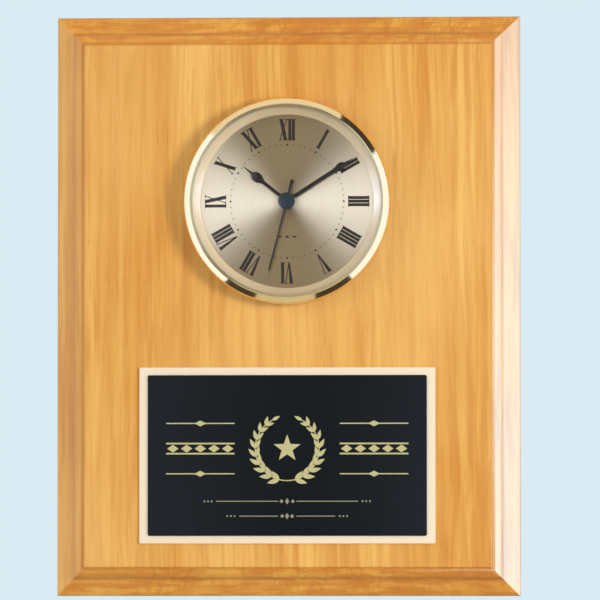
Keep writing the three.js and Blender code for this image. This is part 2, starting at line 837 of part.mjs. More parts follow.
// The bobbin and its winding are turned about Z, round the flat core.
function coilPart(profile) {
  const body = turned(profile, smallSides).rotateX(Math.PI / 2);
  const halfWidth = coreWidth / 2 + fitGap;
  const halfDepth = coreThickness / 2 + fitGap;
  const reach = coilHalfLength + bobbinFlange + cutPast;
  return cut(body, block(-halfWidth, halfWidth, -halfDepth, halfDepth, -reach, reach));
}

function addMotor(parent) {
  const sleeve = coreWidth / 2 + bobbinSleeve + fitGap;
  const flangeStart = coilHalfLength;
  const flangeEnd = coilHalfLength + bobbinFlange;
  const bobbin = coilPart([
    [0, -flangeEnd], [bobbinRadius, -flangeEnd], [bobbinRadius, -flangeStart], [sleeve, -flangeStart],
    [sleeve, flangeStart], [bobbinRadius, flangeStart], [bobbinRadius, flangeEnd], [0, flangeEnd],
  ]);
  const woundEnd = coilHalfLength - fitGap;
  const winding = pipe(coilRadius, sleeve + fitGap, -woundEnd, woundEnd).rotateX(Math.PI / 2);
  const place = new THREE.Vector2(coilX, coilZ);
  piece("stator", stator(), "steel", parent);
  piece("coil_core", coilCore(), "steel", parent);
  piece("coil_bobbin", bobbin, "whitePlastic", parent, place).position.y = coilLevel;
  piece("coil_winding", winding, "copper", parent, place).position.y = coilLevel;
  statorScrewPlaces.forEach((z, index) => {
    const mesh = piece(
      "stator_screw_" + (index + 1),
      screw(statorHeadRadius, statorHeadHeight, coreThickness + statorThickness + statorScrewBite),
      "steel",
      parent,
      new THREE.Vector2(coilX, z),
    );
    mesh.position.y = coreLevel + coreThickness;
  });
}

function addCircuit(parent) {
  const back = circuitLevel + circuitThickness;
  const minZ = circuitMaxZ - circuitHeight;
  const middle = new THREE.Vector2(circuitMinX + circuitWidth / 2, minZ + circuitHeight / 2);
  const sheet = block(circuitMinX, circuitMinX + circuitWidth, circuitLevel, back, minZ, circuitMaxZ);
  piece("circuit_board", sheet, "circuitGreen", parent);
  const chip = turned([
    [0, back], [chipRadius, back], [0.9 * chipRadius, back + 0.5 * chipHeight],
    [0.5 * chipRadius, back + 0.9 * chipHeight], [0, back + chipHeight],
  ], smallSides);
  piece("circuit_chip", chip, "blackPlastic", parent, middle);
  const crystalHalf = crystalLength / 2;
  const can = disc(crystalRadius, -crystalHalf, crystalHalf, 16).rotateZ(Math.PI / 2);
  const crystalPlace = new THREE.Vector2(
    middle.x + crystalHalf + crystalInset,
    minZ + crystalRadius + crystalInset,
  );
  piece("quartz_crystal", can, "steel", parent, crystalPlace).position.y = back + crystalRadius + fitGap;
}

// A bent strip: a plate at the battery's end, a rail along the case wall and a finger that
// rests on the circuit board.
function addContacts(parent) {
  const fingerFront = circuitLevel + circuitThickness;
  const fingerBack = fingerFront + contactThickness;
  const railFront = fingerBack - stripWidth;
  const wallFace = caseInner - contactInset;
  const plateFace = wallFace - contactThickness;
  const plateMiddle = batteryZ;
  const plateFront = caseFloor + 2 * runGap;
  const plateBack = coverLevel - 2 * runGap;
  const foldZ = batteryZ + contactWidth / 2;
  const topZ = caseInner - contactInset;
  const negativeFingerZ = circuitMaxZ - circuitHeight / 2;
  const springReach = contactRoom - contactInset - contactThickness - runGap;
  const negative = join(
    block(-wallFace, -plateFace, plateFront, plateBack, plateMiddle - contactWidth / 2, foldZ),
    turned(
      [[0, 0], [springFootRadius, 0], [springTipRadius, -springReach], [0, -springReach]],
      smallSides,
    ).rotateZ(Math.PI / 2).translate(-plateFace, (plateFront + plateBack) / 2, plateMiddle),
    block(-wallFace, -plateFace, railFront, fingerBack, foldZ - railOverlap, negativeFingerZ),
    block(-wallFace, circuitMinX + stripWidth, fingerFront, fingerBack,
      negativeFingerZ - stripWidth, negativeFingerZ),
  );
  const positiveFingerX = circuitMinX + circuitWidth - positiveFingerInset;
  const positive = join(
    block(plateFace, wallFace, plateFront, plateBack, plateMiddle - contactWidth / 2, foldZ),
    block(plateFace, wallFace, railFront, fingerBack, foldZ - railOverlap, topZ - caseCorner),
    cornerStrip(wallFace, topZ, railFront, fingerBack),
    block(positiveFingerX - stripWidth, topZ - caseCorner, railFront, fingerBack,
      topZ - contactThickness, topZ),
    block(positiveFingerX - stripWidth, positiveFingerX, fingerFront, fingerBack,
      circuitMaxZ - stripWidth, topZ),
  );
  piece("contact_negative", negative, "steel", parent);
  piece("contact_positive", positive, "steel", parent);
}

// The quarter bend that takes the long contact strip round the case's rounded corner.
function cornerStrip(outerX, outerZ, front, back) {
  const centreX = outerX - caseCorner;
  const centreZ = outerZ - caseCorner;
  const shape = new THREE.Shape();
  shape.absarc(centreX, centreZ, caseCorner, 0, Math.PI / 2);
  shape.absarc(centreX, centreZ, caseCorner - contactThickness, Math.PI / 2, 0, true);
  shape.closePath();
  return slab(shape, front, back);
}

function addBattery(parent) {
  const start = -(batteryLength + nubLength) / 2;
  const rim = 0.5;
  const body = turned([
    [0, start],
    [batteryRadius - rim, start],
    [batteryRadius, start + rim],
    [batteryRadius, start + batteryLength - rim],
    [batteryRadius - rim, start + batteryLength],
    [nubRadius, start + batteryLength],
    [nubRadius, start + batteryLength + nubLength],
    [0, start + batteryLength + nubLength],
  ], 32).rotateZ(-Math.PI / 2);
  const mesh = piece("battery", body, "batteryJacket", parent, new THREE.Vector2(0, batteryZ));
  mesh.position.y = caseFloor + runGap + batteryRadius;
}

// Time train: it turns with the minute hand

function addTimeTrain(parent) {
  const cannonPhase = 0;
  const motionPhase = meshedPhase(cannonPhase, cannonTeeth, motionTeeth, motionDirection);
  const motionPinionPhase = 0;
  const hourPhase = meshedPhase(motionPinionPhase, motionPinionTeeth, hourTeeth, motionDirection + 180);
  const settingPhase = meshedPhase(motionPhase, motionTeeth, settingTeeth, motionDirection);
  const minuteSeat = cannonRadius - handSeatStep;
  const hourSeat = hourPipeRadius - handSeatStep;

  const cannon = cut(
    join(
      gear(cannonTeeth, timeModule, cannonPhase, timeLevel),
      turned([
        [0, minuteHandBack - handThickness],
        [minuteSeat, minuteHandBack - handThickness],
        [minuteSeat, minuteHandBack],
        [cannonRadius, minuteHandBack],
        [cannonRadius, timeLevel + gearThickness / 2],
        [cannonTailRadius, timeLevel + gearThickness / 2],
        [cannonTailRadius, centreLevel + gearThickness],
        [0, centreLevel + gearThickness],
      ], smallSides),
    ),
    disc(cannonBore, minuteHandBack - handThickness - cutPast, thirdLevel, smallSides),
  );
  piece("cannon_pinion", cannon, "steel", parent);

  const motion = join(
    gear(motionTeeth, timeModule, motionPhase, timeLevel, motionPostRadius + pivotGap),
    gear(
      motionPinionTeeth, timeModule, motionPinionPhase,
      hourLevel, motionPostRadius + pivotGap, timeLevel + gearThickness / 2,
    ),
  );
  piece("motion_wheel", motion, "whitePlastic", parent, motionPlace);

  const hour = cut(
    join(
      gear(hourTeeth, timeModule, hourPhase, hourLevel),
      turned([
        [0, hourHandBack - handThickness],
        [hourSeat, hourHandBack - handThickness],
        [hourSeat, hourHandBack],
        [hourPipeRadius, hourHandBack],
        [hourPipeRadius, hourLevel + gearThickness / 2],
        [0, hourLevel + gearThickness / 2],
      ], smallSides),
    ),
    disc(hourBore, hourHandBack - handThickness - cutPast, hourLevel + gearThickness + cutPast, smallSides),
  );
  piece("hour_wheel", hour, "whitePlastic", parent);

  const stemEnd = coverBack + runGap;
  const setting = join(
    gear(settingTeeth, timeModule, settingPhase, timeLevel),
    disc(arborRadius, frontPivot, timeLevel + gearThickness / 2, 2 * boreSteps),
    disc(settingStemRadius, timeLevel + gearThickness / 2, stemEnd + knobThickness / 2),
  );
  piece("setting_shaft", setting, "whitePlastic", parent, settingPlace);

  const flutes = [];
  for (let index = 0; index < knobFlutes; index++) {
    const place = polar(knobRadius, (2 * Math.PI * index) / knobFlutes);
    flutes.push(at(disc(fluteRadius, stemEnd - cutPast, stemEnd + knobThickness + cutPast, 8), place));
  }
  const knob = cut(
    disc(knobRadius, stemEnd, stemEnd + knobThickness, roundSides / 2),
    disc(settingStemRadius + fitGap, stemEnd - cutPast, stemEnd + knobThickness / 2 + fitGap),
    ...flutes,
  );
  piece("setting_knob", knob, "blackPlastic", parent, settingPlace);
}

// Going train: it turns with the second hand

function addGoingTrain(parent) {
  const wheelPhase = 0;
  const thirdPinionPhase = meshedPhase(wheelPhase, centreTeeth, thirdPinionTeeth, thirdDirection);
  const thirdPhase = meshedPhase(wheelPhase, secondsPinionTeeth, thirdTeeth, thirdDirection);
  const intermediatePinionPhase = meshedPhase(
    wheelPhase, secondsTeeth, intermediatePinionTeeth, intermediateDirection,
  );
  const rotorPinionPhase = meshedPhase(wheelPhase, intermediateTeeth, rotorPinionTeeth, rotorDirection);
  const plateMiddle = middlePlate + middlePlateThickness / 2;

  const centre = gear(centreTeeth, coarseModule, wheelPhase, centreLevel, centreBore);
  piece("centre_wheel", centre, "whitePlastic", parent);

  const third = join(
    gear(thirdTeeth, fineModule, thirdPhase, thirdLevel),
    gear(thirdPinionTeeth, coarseModule, thirdPinionPhase, centreLevel, 0, thirdLevel + gearThickness / 2),
    disc(arborRadius, frontPivot, plateMiddle, 2 * boreSteps),
  );
  piece("third_wheel", third, "whitePlastic", parent, thirdPlace);

  const secondsArborTip = secondHandBack - handThickness;
  const seconds = join(
    gear(secondsTeeth, coarseModule, wheelPhase, secondsLevel),
    gear(secondsPinionTeeth, fineModule, wheelPhase, thirdLevel, 0, secondsLevel + gearThickness / 2),
    disc(secondsArborRadius, secondsArborTip, backPivot),
  );
  piece("seconds_wheel", seconds, "whitePlastic", parent);

  const intermediate = join(
    gear(intermediateTeeth, fineModule, wheelPhase, intermediateLevel),
    gear(
      intermediatePinionTeeth, coarseModule, intermediatePinionPhase,
      secondsLevel, 0, intermediateLevel + gearThickness / 2,
    ),
    disc(arborRadius, plateMiddle, backPivot, 2 * boreSteps),
  );
  piece("intermediate_wheel", intermediate, "whitePlastic", parent, intermediatePlace);

  const rotorPinion = join(
    gear(rotorPinionTeeth, fineModule, rotorPinionPhase, intermediateLevel),
    disc(arborRadius, plateMiddle, backPivot, 2 * boreSteps),
  );
  piece("rotor_pinion", rotorPinion, "whitePlastic", parent, rotorPlace);
  const magnet = pipe(magnetRadius, arborRadius + fitGap, magnetLevel, magnetLevel + magnetLength);
  piece("rotor_magnet", magnet, "magnet", parent, rotorPlace);
}

// Hands

// Half of a spade hand from the hub up, mirrored: a shaft, a round swell and a long point.
function spadeHand(length, shaftWidth, swellWidth, swellAt, hubRadius, holeRadius, back) {
  const shaft = shaftWidth / 2;
  const swell = swellWidth / 2;
  const swellStart = swellAt - 1.1 * swellWidth;
  const point = swellAt + 0.9 * swellWidth;
  const shape = new THREE.Shape();
  shape.moveTo(-shaft, 0);
  shape.lineTo(-shaft, swellStart);
  shape.bezierCurveTo(-shaft, swellAt - swell, -swell, swellAt - swell, -swell, swellAt);
  shape.bezierCurveTo(-swell, swellAt + swell, -shaft / 2, swellAt + swell, -shaft / 2, point);
  shape.lineTo(0, length);
  shape.lineTo(shaft / 2, point);
  shape.bezierCurveTo(shaft / 2, swellAt + swell, swell, swellAt + swell, swell, swellAt);
  shape.bezierCurveTo(swell, swellAt - swell, shaft, swellAt - swell, shaft, swellStart);
  shape.lineTo(shaft, 0);
  shape.closePath();
  const front = back - handThickness;
  return cut(
    join(slab(shape, front, back, 6), disc(hubRadius, front, back)),
    disc(holeRadius, front - cutPast, back + cutPast),
  );
}

function secondHand() {
  const front = secondHandBack - handThickness;
  const capFront = secondHubBack - hubCapHeight;
  const tip = secondHandWidth / 2;
  const tail = secondTailWidth / 2;
  const blade = new THREE.Shape();
  blade.moveTo(-tip, secondHandLength);
  blade.lineTo(-tip, 0);
  blade.lineTo(-tail, -secondHandTail);
  blade.lineTo(tail, -secondHandTail);
  blade.lineTo(tip, 0);
  blade.lineTo(tip, secondHandLength);
  blade.closePath();
  const cap = turned([
    [0, secondHubBack],
    [hubCapRadius, secondHubBack],
    [hubCapRadius, capFront + hubCapRound],
    [hubCapRadius - hubCapRound, capFront],
    [0, capFront],
  ], smallSides);
  const seat = disc(secondsArborRadius + fitGap / 2, front - fitGap / 2, secondHubBack + cutPast);
  return cut(join(slab(blade, front, secondHandBack), cap), seat);
}

function addHands(parent) {
  const secondTurn = shownSecond / 60;
  const minuteTurn = (shownMinute + secondTurn) / 60;
  const hourTurn = (shownHour + minuteTurn) / 12 + hourHandLead / 360;
  const hour = spadeHand(
    hourHandLength, hourHandShaft, hourHandSwell, hourHandSwellAt, hourHubRadius,
    hourPipeRadius - handSeatStep + fitGap / 2, hourHandBack,
  );
  const minute = spadeHand(
    minuteHandLength, minuteHandShaft, minuteHandSwell, minuteHandSwellAt, minuteHubRadius,
    cannonRadius - handSeatStep + fitGap / 2, minuteHandBack,
  );
  piece("hour_hand", hour, "handBlack", parent).rotation.y = 2 * Math.PI * hourTurn;
  piece("minute_hand", minute, "handBlack", parent).rotation.y = 2 * Math.PI * minuteTurn;
  piece("second_hand", secondHand(), "handBlack", parent).rotation.y = 2 * Math.PI * secondTurn;
}

// The whole plaque

const plaque = new THREE.Group();
const clockZ = boardHeight / 2 - clockTopMargin;
piece("board", board(clockZ), "wood", plaque);
addPlates(plaque);

const clock = new THREE.Group();
clock.position.z = clockZ;
plaque.add(clock);
addHeadParts(clock);
addCase(clock);
addMotor(clock);
addCircuit(clock);
addContacts(clock);
addBattery(clock);
addTimeTrain(clock);
addGoingTrain(clock);
addHands(clock);

export default plaque;
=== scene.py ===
# A wooden wall plaque with an insert quartz clock and an engraving plate, dressed over its model.
# X points right, Z up, and the front faces -Y. Sizes here are in millimetres, and each mesh is
# turned into metres when it is made.
import json
import math

import bmesh
import bpy
from mathutils import Matrix, Vector
from mathutils.geometry import interpolate_bezier

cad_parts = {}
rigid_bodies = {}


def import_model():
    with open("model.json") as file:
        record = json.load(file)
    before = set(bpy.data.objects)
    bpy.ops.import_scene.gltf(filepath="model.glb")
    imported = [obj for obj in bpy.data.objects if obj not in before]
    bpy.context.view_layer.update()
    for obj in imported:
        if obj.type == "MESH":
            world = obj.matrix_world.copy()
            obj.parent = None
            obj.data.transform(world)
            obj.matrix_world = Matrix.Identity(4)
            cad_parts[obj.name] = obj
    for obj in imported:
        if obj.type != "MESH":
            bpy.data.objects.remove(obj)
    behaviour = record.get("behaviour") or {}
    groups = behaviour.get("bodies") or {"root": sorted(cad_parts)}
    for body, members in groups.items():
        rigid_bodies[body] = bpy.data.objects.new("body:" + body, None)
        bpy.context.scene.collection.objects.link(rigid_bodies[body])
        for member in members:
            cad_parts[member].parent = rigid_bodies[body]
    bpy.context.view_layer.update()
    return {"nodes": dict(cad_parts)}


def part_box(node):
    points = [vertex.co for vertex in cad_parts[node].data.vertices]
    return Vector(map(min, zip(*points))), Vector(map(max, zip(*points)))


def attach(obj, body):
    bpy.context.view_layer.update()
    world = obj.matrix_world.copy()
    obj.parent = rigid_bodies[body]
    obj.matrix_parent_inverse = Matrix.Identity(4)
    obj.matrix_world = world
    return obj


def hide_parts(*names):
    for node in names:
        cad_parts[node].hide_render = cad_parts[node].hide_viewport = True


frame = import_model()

MM = 0.001
WELD = 1e-4
TURN = 2 * math.pi
LATHE_STEPS = 240
SMALL_STEPS = 64
CURVE_STEPS = 14
BEVEL_STEPS = 2
SMOOTH_ANGLE = 32


# Places from the frame

def span(node):
    low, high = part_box(node)
    return Vector(low) / MM, Vector(high) / MM


# The middle of a node's box, as (x, z).
def middle(node):
    low, high = span(node)
    return (low.x + high.x) / 2, (low.z + high.z) / 2


board_low, board_high = span("board")
CLOCK_X, CLOCK_Z = middle("bezel")
FACE = board_low.y


# Meshes

def new_object(name, mesh):
    made = bpy.data.objects.new(name, mesh)
    bpy.context.scene.collection.objects.link(made)
    return made


# Turns a bmesh in millimetres into a mesh in metres.
def mesh_from(name, shape):
    bmesh.ops.remove_doubles(shape, verts=shape.verts, dist=WELD)
    bmesh.ops.recalc_face_normals(shape, faces=shape.faces)
    bmesh.ops.scale(shape, vec=(MM, MM, MM), verts=shape.verts)
    mesh = bpy.data.meshes.new(name)
    shape.to_mesh(mesh)
    shape.free()
    return mesh


# Makes a piece that rides on a body and takes one finish. Edges that bend by more degrees than
# smooth are shown sharp.
def piece(name, shape, finish, body, replaced=(), smooth=SMOOTH_ANGLE):
    mesh = mesh_from(name, shape)
    mesh.polygons.foreach_set("use_smooth", [True] * len(mesh.polygons))
    mesh.set_sharp_from_angle(angle=math.radians(smooth))
    mesh.materials.append(FINISHES[finish])
    made = new_object(name, mesh)
    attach(made, body)
    if replaced:
        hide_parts(*replaced)
    return made


# Rounds the corners of a line of points. Each point is (a, b) or (a, b, radius).
def rounded(points, closed=True, steps=5):
    result = []
    count = len(points)
    for index, point in enumerate(points):
        here = Vector(point[:2])
        radius = point[2] if len(point) > 2 else 0
        at_end = not closed and index in (0, count - 1)
        if radius <= 0 or at_end:
            result.append(tuple(here))
            continue
        before = Vector(points[index - 1][:2]) - here
        after = Vector(points[(index + 1) % count][:2]) - here
        angle = before.angle(after)
        reach = min(radius / math.tan(angle / 2), 0.49 * before.length, 0.49 * after.length)
        start = here + before.normalized() * reach
        end = here + after.normalized() * reach
        for step in range(steps + 1):
            t = step / steps
            result.append(tuple(start * (1 - t) ** 2 + here * 2 * t * (1 - t) + end * t ** 2))
    return result


# Angles run from the first direction towards the second one.
def arc(a, b, radius, start, end, steps):
    angles = [math.radians(start + (end - start) * step / steps) for step in range(steps + 1)]
    return [(a + radius * math.cos(t), b + radius * math.sin(t)) for t in angles]


# Joins rings that have the same number of points. Faces that close up to a line are left out.
def join_rings(shape, rings, capped=False):
    for here, following in zip(rings, rings[1:]):
        count = len(here)
        for k in range(count):
            after = (k + 1) % count
            corners = list(dict.fromkeys([here[k], here[after], following[after], following[k]]))
            if len(corners) > 2:
                shape.faces.new(corners)
    if capped:
        shape.faces.new(rings[0])
        shape.faces.new(rings[-1])


# A solid of revolution. The profile is a closed line of (radius, level), and axis names the way
# that the level runs.
def turned(profile, place=(CLOCK_X, 0, CLOCK_Z), steps=LATHE_STEPS, axis="Y"):
    def point(radius, level, turn):
        across, up = radius * math.sin(turn), radius * math.cos(turn)
        offset = {"Y": (across, level, up), "X": (level, across, up)}[axis]
        return Vector(place) + Vector(offset)

    shape = bmesh.new()
    rings = []
    for radius, level in profile:
        if radius < WELD:
            rings.append([shape.verts.new(point(0, level, 0))] * steps)
        else:
            rings.append([shape.verts.new(point(radius, level, TURN * k / steps)) for k in range(steps)])
    join_rings(shape, rings + rings[:1])
    return shape


# Adds a flat prism from an outline of (x, z), between two levels.
def add_prism(shape, outline, back, front):
    rear = [shape.verts.new((x, back, z)) for x, z in outline]
    fore = [shape.verts.new((x, front, z)) for x, z in outline]
    shape.faces.new(rear)
    shape.faces.new(fore)
    join_rings(shape, [rear, fore])
    return shape


# A flat shape from outlines of (x, z), holes included, with its edges rounded by a bevel.
def bevelled(outlines, back, front, bevel):
    curve = bpy.data.curves.new("outline", "CURVE")
    curve.dimensions = "2D"
    curve.fill_mode = "BOTH"
    curve.extrude = (back - front) / 2 - bevel
    curve.bevel_depth = bevel
    curve.bevel_resolution = BEVEL_STEPS
    curve.offset = -bevel
    for outline in outlines:
        spline = curve.splines.new("POLY")
        spline.points.add(len(outline) - 1)
        for point, (x, z) in zip(spline.points, outline):
            point.co = (x, z, 0, 1)
        spline.use_cyclic_u = True
    holder = bpy.data.objects.new("outline", curve)
    mesh = bpy.data.meshes.new_from_object(holder)
    shape = bmesh.new()
    shape.from_mesh(mesh)
    upright = Matrix.Translation((0, (back + front) / 2, 0)) @ Matrix.Rotation(math.pi / 2, 4, "X")
    bmesh.ops.transform(shape, matrix=upright, verts=shape.verts)
    bpy.data.meshes.remove(mesh)
    bpy.data.objects.remove(holder)
    bpy.data.curves.remove(curve)
    return shape


def circle(x, z, radius, steps=SMALL_STEPS):
    return [(x + radius * math.sin(TURN * k / steps), z + radius * math.cos(TURN * k / steps))
            for k in range(steps)]


def rounded_rectangle(low_x, low_z, high_x, high_z, radius, steps=8):
    corners = [(low_x, low_z), (high_x, low_z), (high_x, high_z), (low_x, high_z)]
    return rounded([(x, z, radius) for x, z in corners], steps=steps)


# Turns points by an angle, clockwise as seen from the front, and puts them at a place.
def placed(points, degrees, x, z):
    turn = math.radians(degrees)
    sine, cosine = math.sin(turn), math.cos(turn)
    return [(x + u * cosine + v * sine, z - u * sine + v * cosine) for u, v in points]


# Cuts shapes in millimetres out of an object for good.
def carve(made, shapes):
    cutters = [new_object("cutter", mesh_from("cutter", shape)) for shape in shapes]
    for cutter in cutters:
        modifier = made.modifiers.new("cut", "BOOLEAN")
        modifier.operation = "DIFFERENCE"
        modifier.solver = "EXACT"
        modifier.object = cutter
    bpy.context.view_layer.update()
    graph = bpy.context.evaluated_depsgraph_get()
    carved = bpy.data.meshes.new_from_object(made.evaluated_get(graph))
    plain = made.data
    made.modifiers.clear()
    made.data = carved
    bpy.data.meshes.remove(plain)
    for cutter in cutters:
        mesh = cutter.data
        bpy.data.objects.remove(cutter)
        bpy.data.meshes.remove(mesh)
    carved.set_sharp_from_angle(angle=math.radians(SMOOTH_ANGLE))


# Shader nodes

def linear(red, green, blue):
    channels = [channel / 255 for channel in (red, green, blue)]
    return tuple(c / 12.92 if c <= 0.04045 else ((c + 0.055) / 1.055) ** 2.4 for c in channels) + (1,)


def grey(level):
    return (level, level, level, 1)


def shade(colour, factor):
    return tuple(min(1, channel * factor) for channel in colour[:3]) + (1,)


class Tree:
    def __init__(self, owner):
        owner.use_nodes = True
        self.nodes = owner.node_tree.nodes
        self.links = owner.node_tree.links

    # Adds a node, sets its attributes, and sets or links its inputs.
    def add(self, kind, inputs=None, **attributes):
        node = self.nodes.new(kind)
        for name, value in attributes.items():
            setattr(node, name, value)
        self.feed(node, inputs or {})
        return node

    def feed(self, node, inputs):
        for key, value in inputs.items():
            self.put(node.inputs[key], value)

    def put(self, socket, value):
        if isinstance(value, bpy.types.NodeSocket):
            self.links.new(value, socket)
        else:
            socket.default_value = value

    def math(self, operation, *values):
        return self.add("ShaderNodeMath", dict(enumerate(values)), operation=operation).outputs[0]

    def times(self, *values):
        return self.math("MULTIPLY", *values)

    def vector(self, operation, *values):
        return self.add("ShaderNodeVectorMath", dict(enumerate(values)), operation=operation).outputs[0]

    # The distance from an axis through the origin; across is 1 in each direction that counts.
    def reach(self, place, across):
        flat = self.vector("MULTIPLY", place, across)
        return self.add("ShaderNodeVectorMath", {0: flat}, operation="LENGTH").outputs["Value"]

    # Three numbers as the scale draw the noise out by direction.
    def noise(self, vector, scale, detail=2.0, roughness=0.5):
        if isinstance(scale, tuple):
            vector, scale = self.mapping(vector, scale=scale), 1
        node = self.add("ShaderNodeTexNoise", {
            "Vector": vector, "Scale": scale, "Detail": detail, "Roughness": roughness})
        return node.outputs["Fac"]

    def mapping(self, vector, location=(0, 0, 0), rotation=(0, 0, 0), scale=(1, 1, 1)):
        node = self.add("ShaderNodeMapping", {
            "Vector": vector, "Location": location,
            "Rotation": [math.radians(angle) for angle in rotation], "Scale": scale})
        return node.outputs[0]

    def remap(self, value, start, end, low=0.0, high=1.0, smooth=False):
        node = self.add("ShaderNodeMapRange", {
            "Value": value, "From Min": start, "From Max": end, "To Min": low, "To Max": high})
        if smooth:
            node.interpolation_type = "SMOOTHSTEP"
        return node.outputs[0]

    def mix(self, factor, first, second, blend="MIX"):
        node = self.add("ShaderNodeMix", {"Factor": factor}, data_type="RGBA", blend_type=blend)
        colours = [socket for socket in node.inputs if socket.type == "RGBA"]
        for socket, value in zip(colours, (first, second)):
            self.put(socket, value)
        return [socket for socket in node.outputs if socket.type == "RGBA"][0]

    def ramp(self, value, stops, interpolation="LINEAR"):
        node = self.add("ShaderNodeValToRGB", {"Fac": value})
        node.color_ramp.interpolation = interpolation
        elements = node.color_ramp.elements
        while len(elements) < len(stops):
            elements.new(0.5)
        for element, (position, colour) in zip(elements, stops):
            element.position = position
            element.color = colour
        return node.outputs[0]


# A Principled material whose constant values sit on the shader's own sockets.
class Finish(Tree):
    def __init__(self, name, **constants):
        self.material = bpy.data.materials.new(name)
        super().__init__(self.material)
        self.shader = self.nodes["Principled BSDF"]
        self.set(**constants)
        self.coordinates = self.add("ShaderNodeTexCoord")
        self.place = self.coordinates.outputs["Object"]

    def set(self, **inputs):
        self.feed(self.shader, {key.replace("_", " "): value for key, value in inputs.items()})

    # A bump whose height is given in millimetres.
    def bump(self, height, depth):
        node = self.add("ShaderNodeBump", {"Height": height, "Strength": 1.0, "Distance": depth * MM})
        self.set(Normal=node.outputs[0])

    # One noise mixes two tones, and another one gives the gloss and the bump.
    def surface(self, cloud, tones, speck, roughness, depth=0):
        self.set(Base_Color=self.mix(cloud, *tones), Roughness=self.remap(speck, 0.3, 0.7, *roughness))
        if depth:
            self.bump(speck, depth)
        return self.material


# A plain material with slight mottling in its colour, gloss and surface.
def mottled(name, colour, roughness, spread=0.06, grain=900, fine=5000, depth=0.006, **constants):
    finish = Finish(name, **constants)
    cloud = finish.noise(finish.place, grain, detail=3)
    speck = finish.noise(finish.place, fine)
    tones = shade(colour, 1 - spread), shade(colour, 1 + spread)
    return finish.surface(cloud, tones, speck, (roughness - 0.05, roughness + 0.05), depth)


# Sizes of the board's moulding and of the bezel

QUIRK_WIDTH = 0.8
QUIRK_DEPTH = 1.0
BEAD_WIDTH = 4.2
BEAD_DEPTH = 3.0
COVE_WIDTH = 3.2
COVE_DEPTH = 2.3
EDGE_WIDTH = 4.5
EDGE_DEPTH = 3.0
BEAD_SLOPE = 0.4
STEEP_SLOPE = 1.9
COVE_SLOPE = 0.42
CURVE_PULL = 0.5
EDGE_PULL = 0.75
MOULDING_WIDTH = QUIRK_WIDTH + BEAD_WIDTH + COVE_WIDTH + EDGE_WIDTH
BEZEL_SHOULDER = 6
BEZEL_CREST = 42.5
BEZEL_LIP = 41.2
BEZEL_BULGE = (44.6, 1.1)
BEZEL_WALL = 2.15
LENS_SEAT = 1.85


# Finishes

# How far a point is from the clock's axis.
def from_clock_axis(finish):
    centred = finish.mapping(finish.place, location=(-CLOCK_X * MM, 0, -CLOCK_Z * MM))
    return finish.reach(centred, (1, 0, 1))


# Painted shade: the wood is darker beside the moulding's lines, where the creases fall in shade, out to a
# distance in millimetres.
GROOVE_REACH = 1.5
GROOVE_SHADE = 0.36


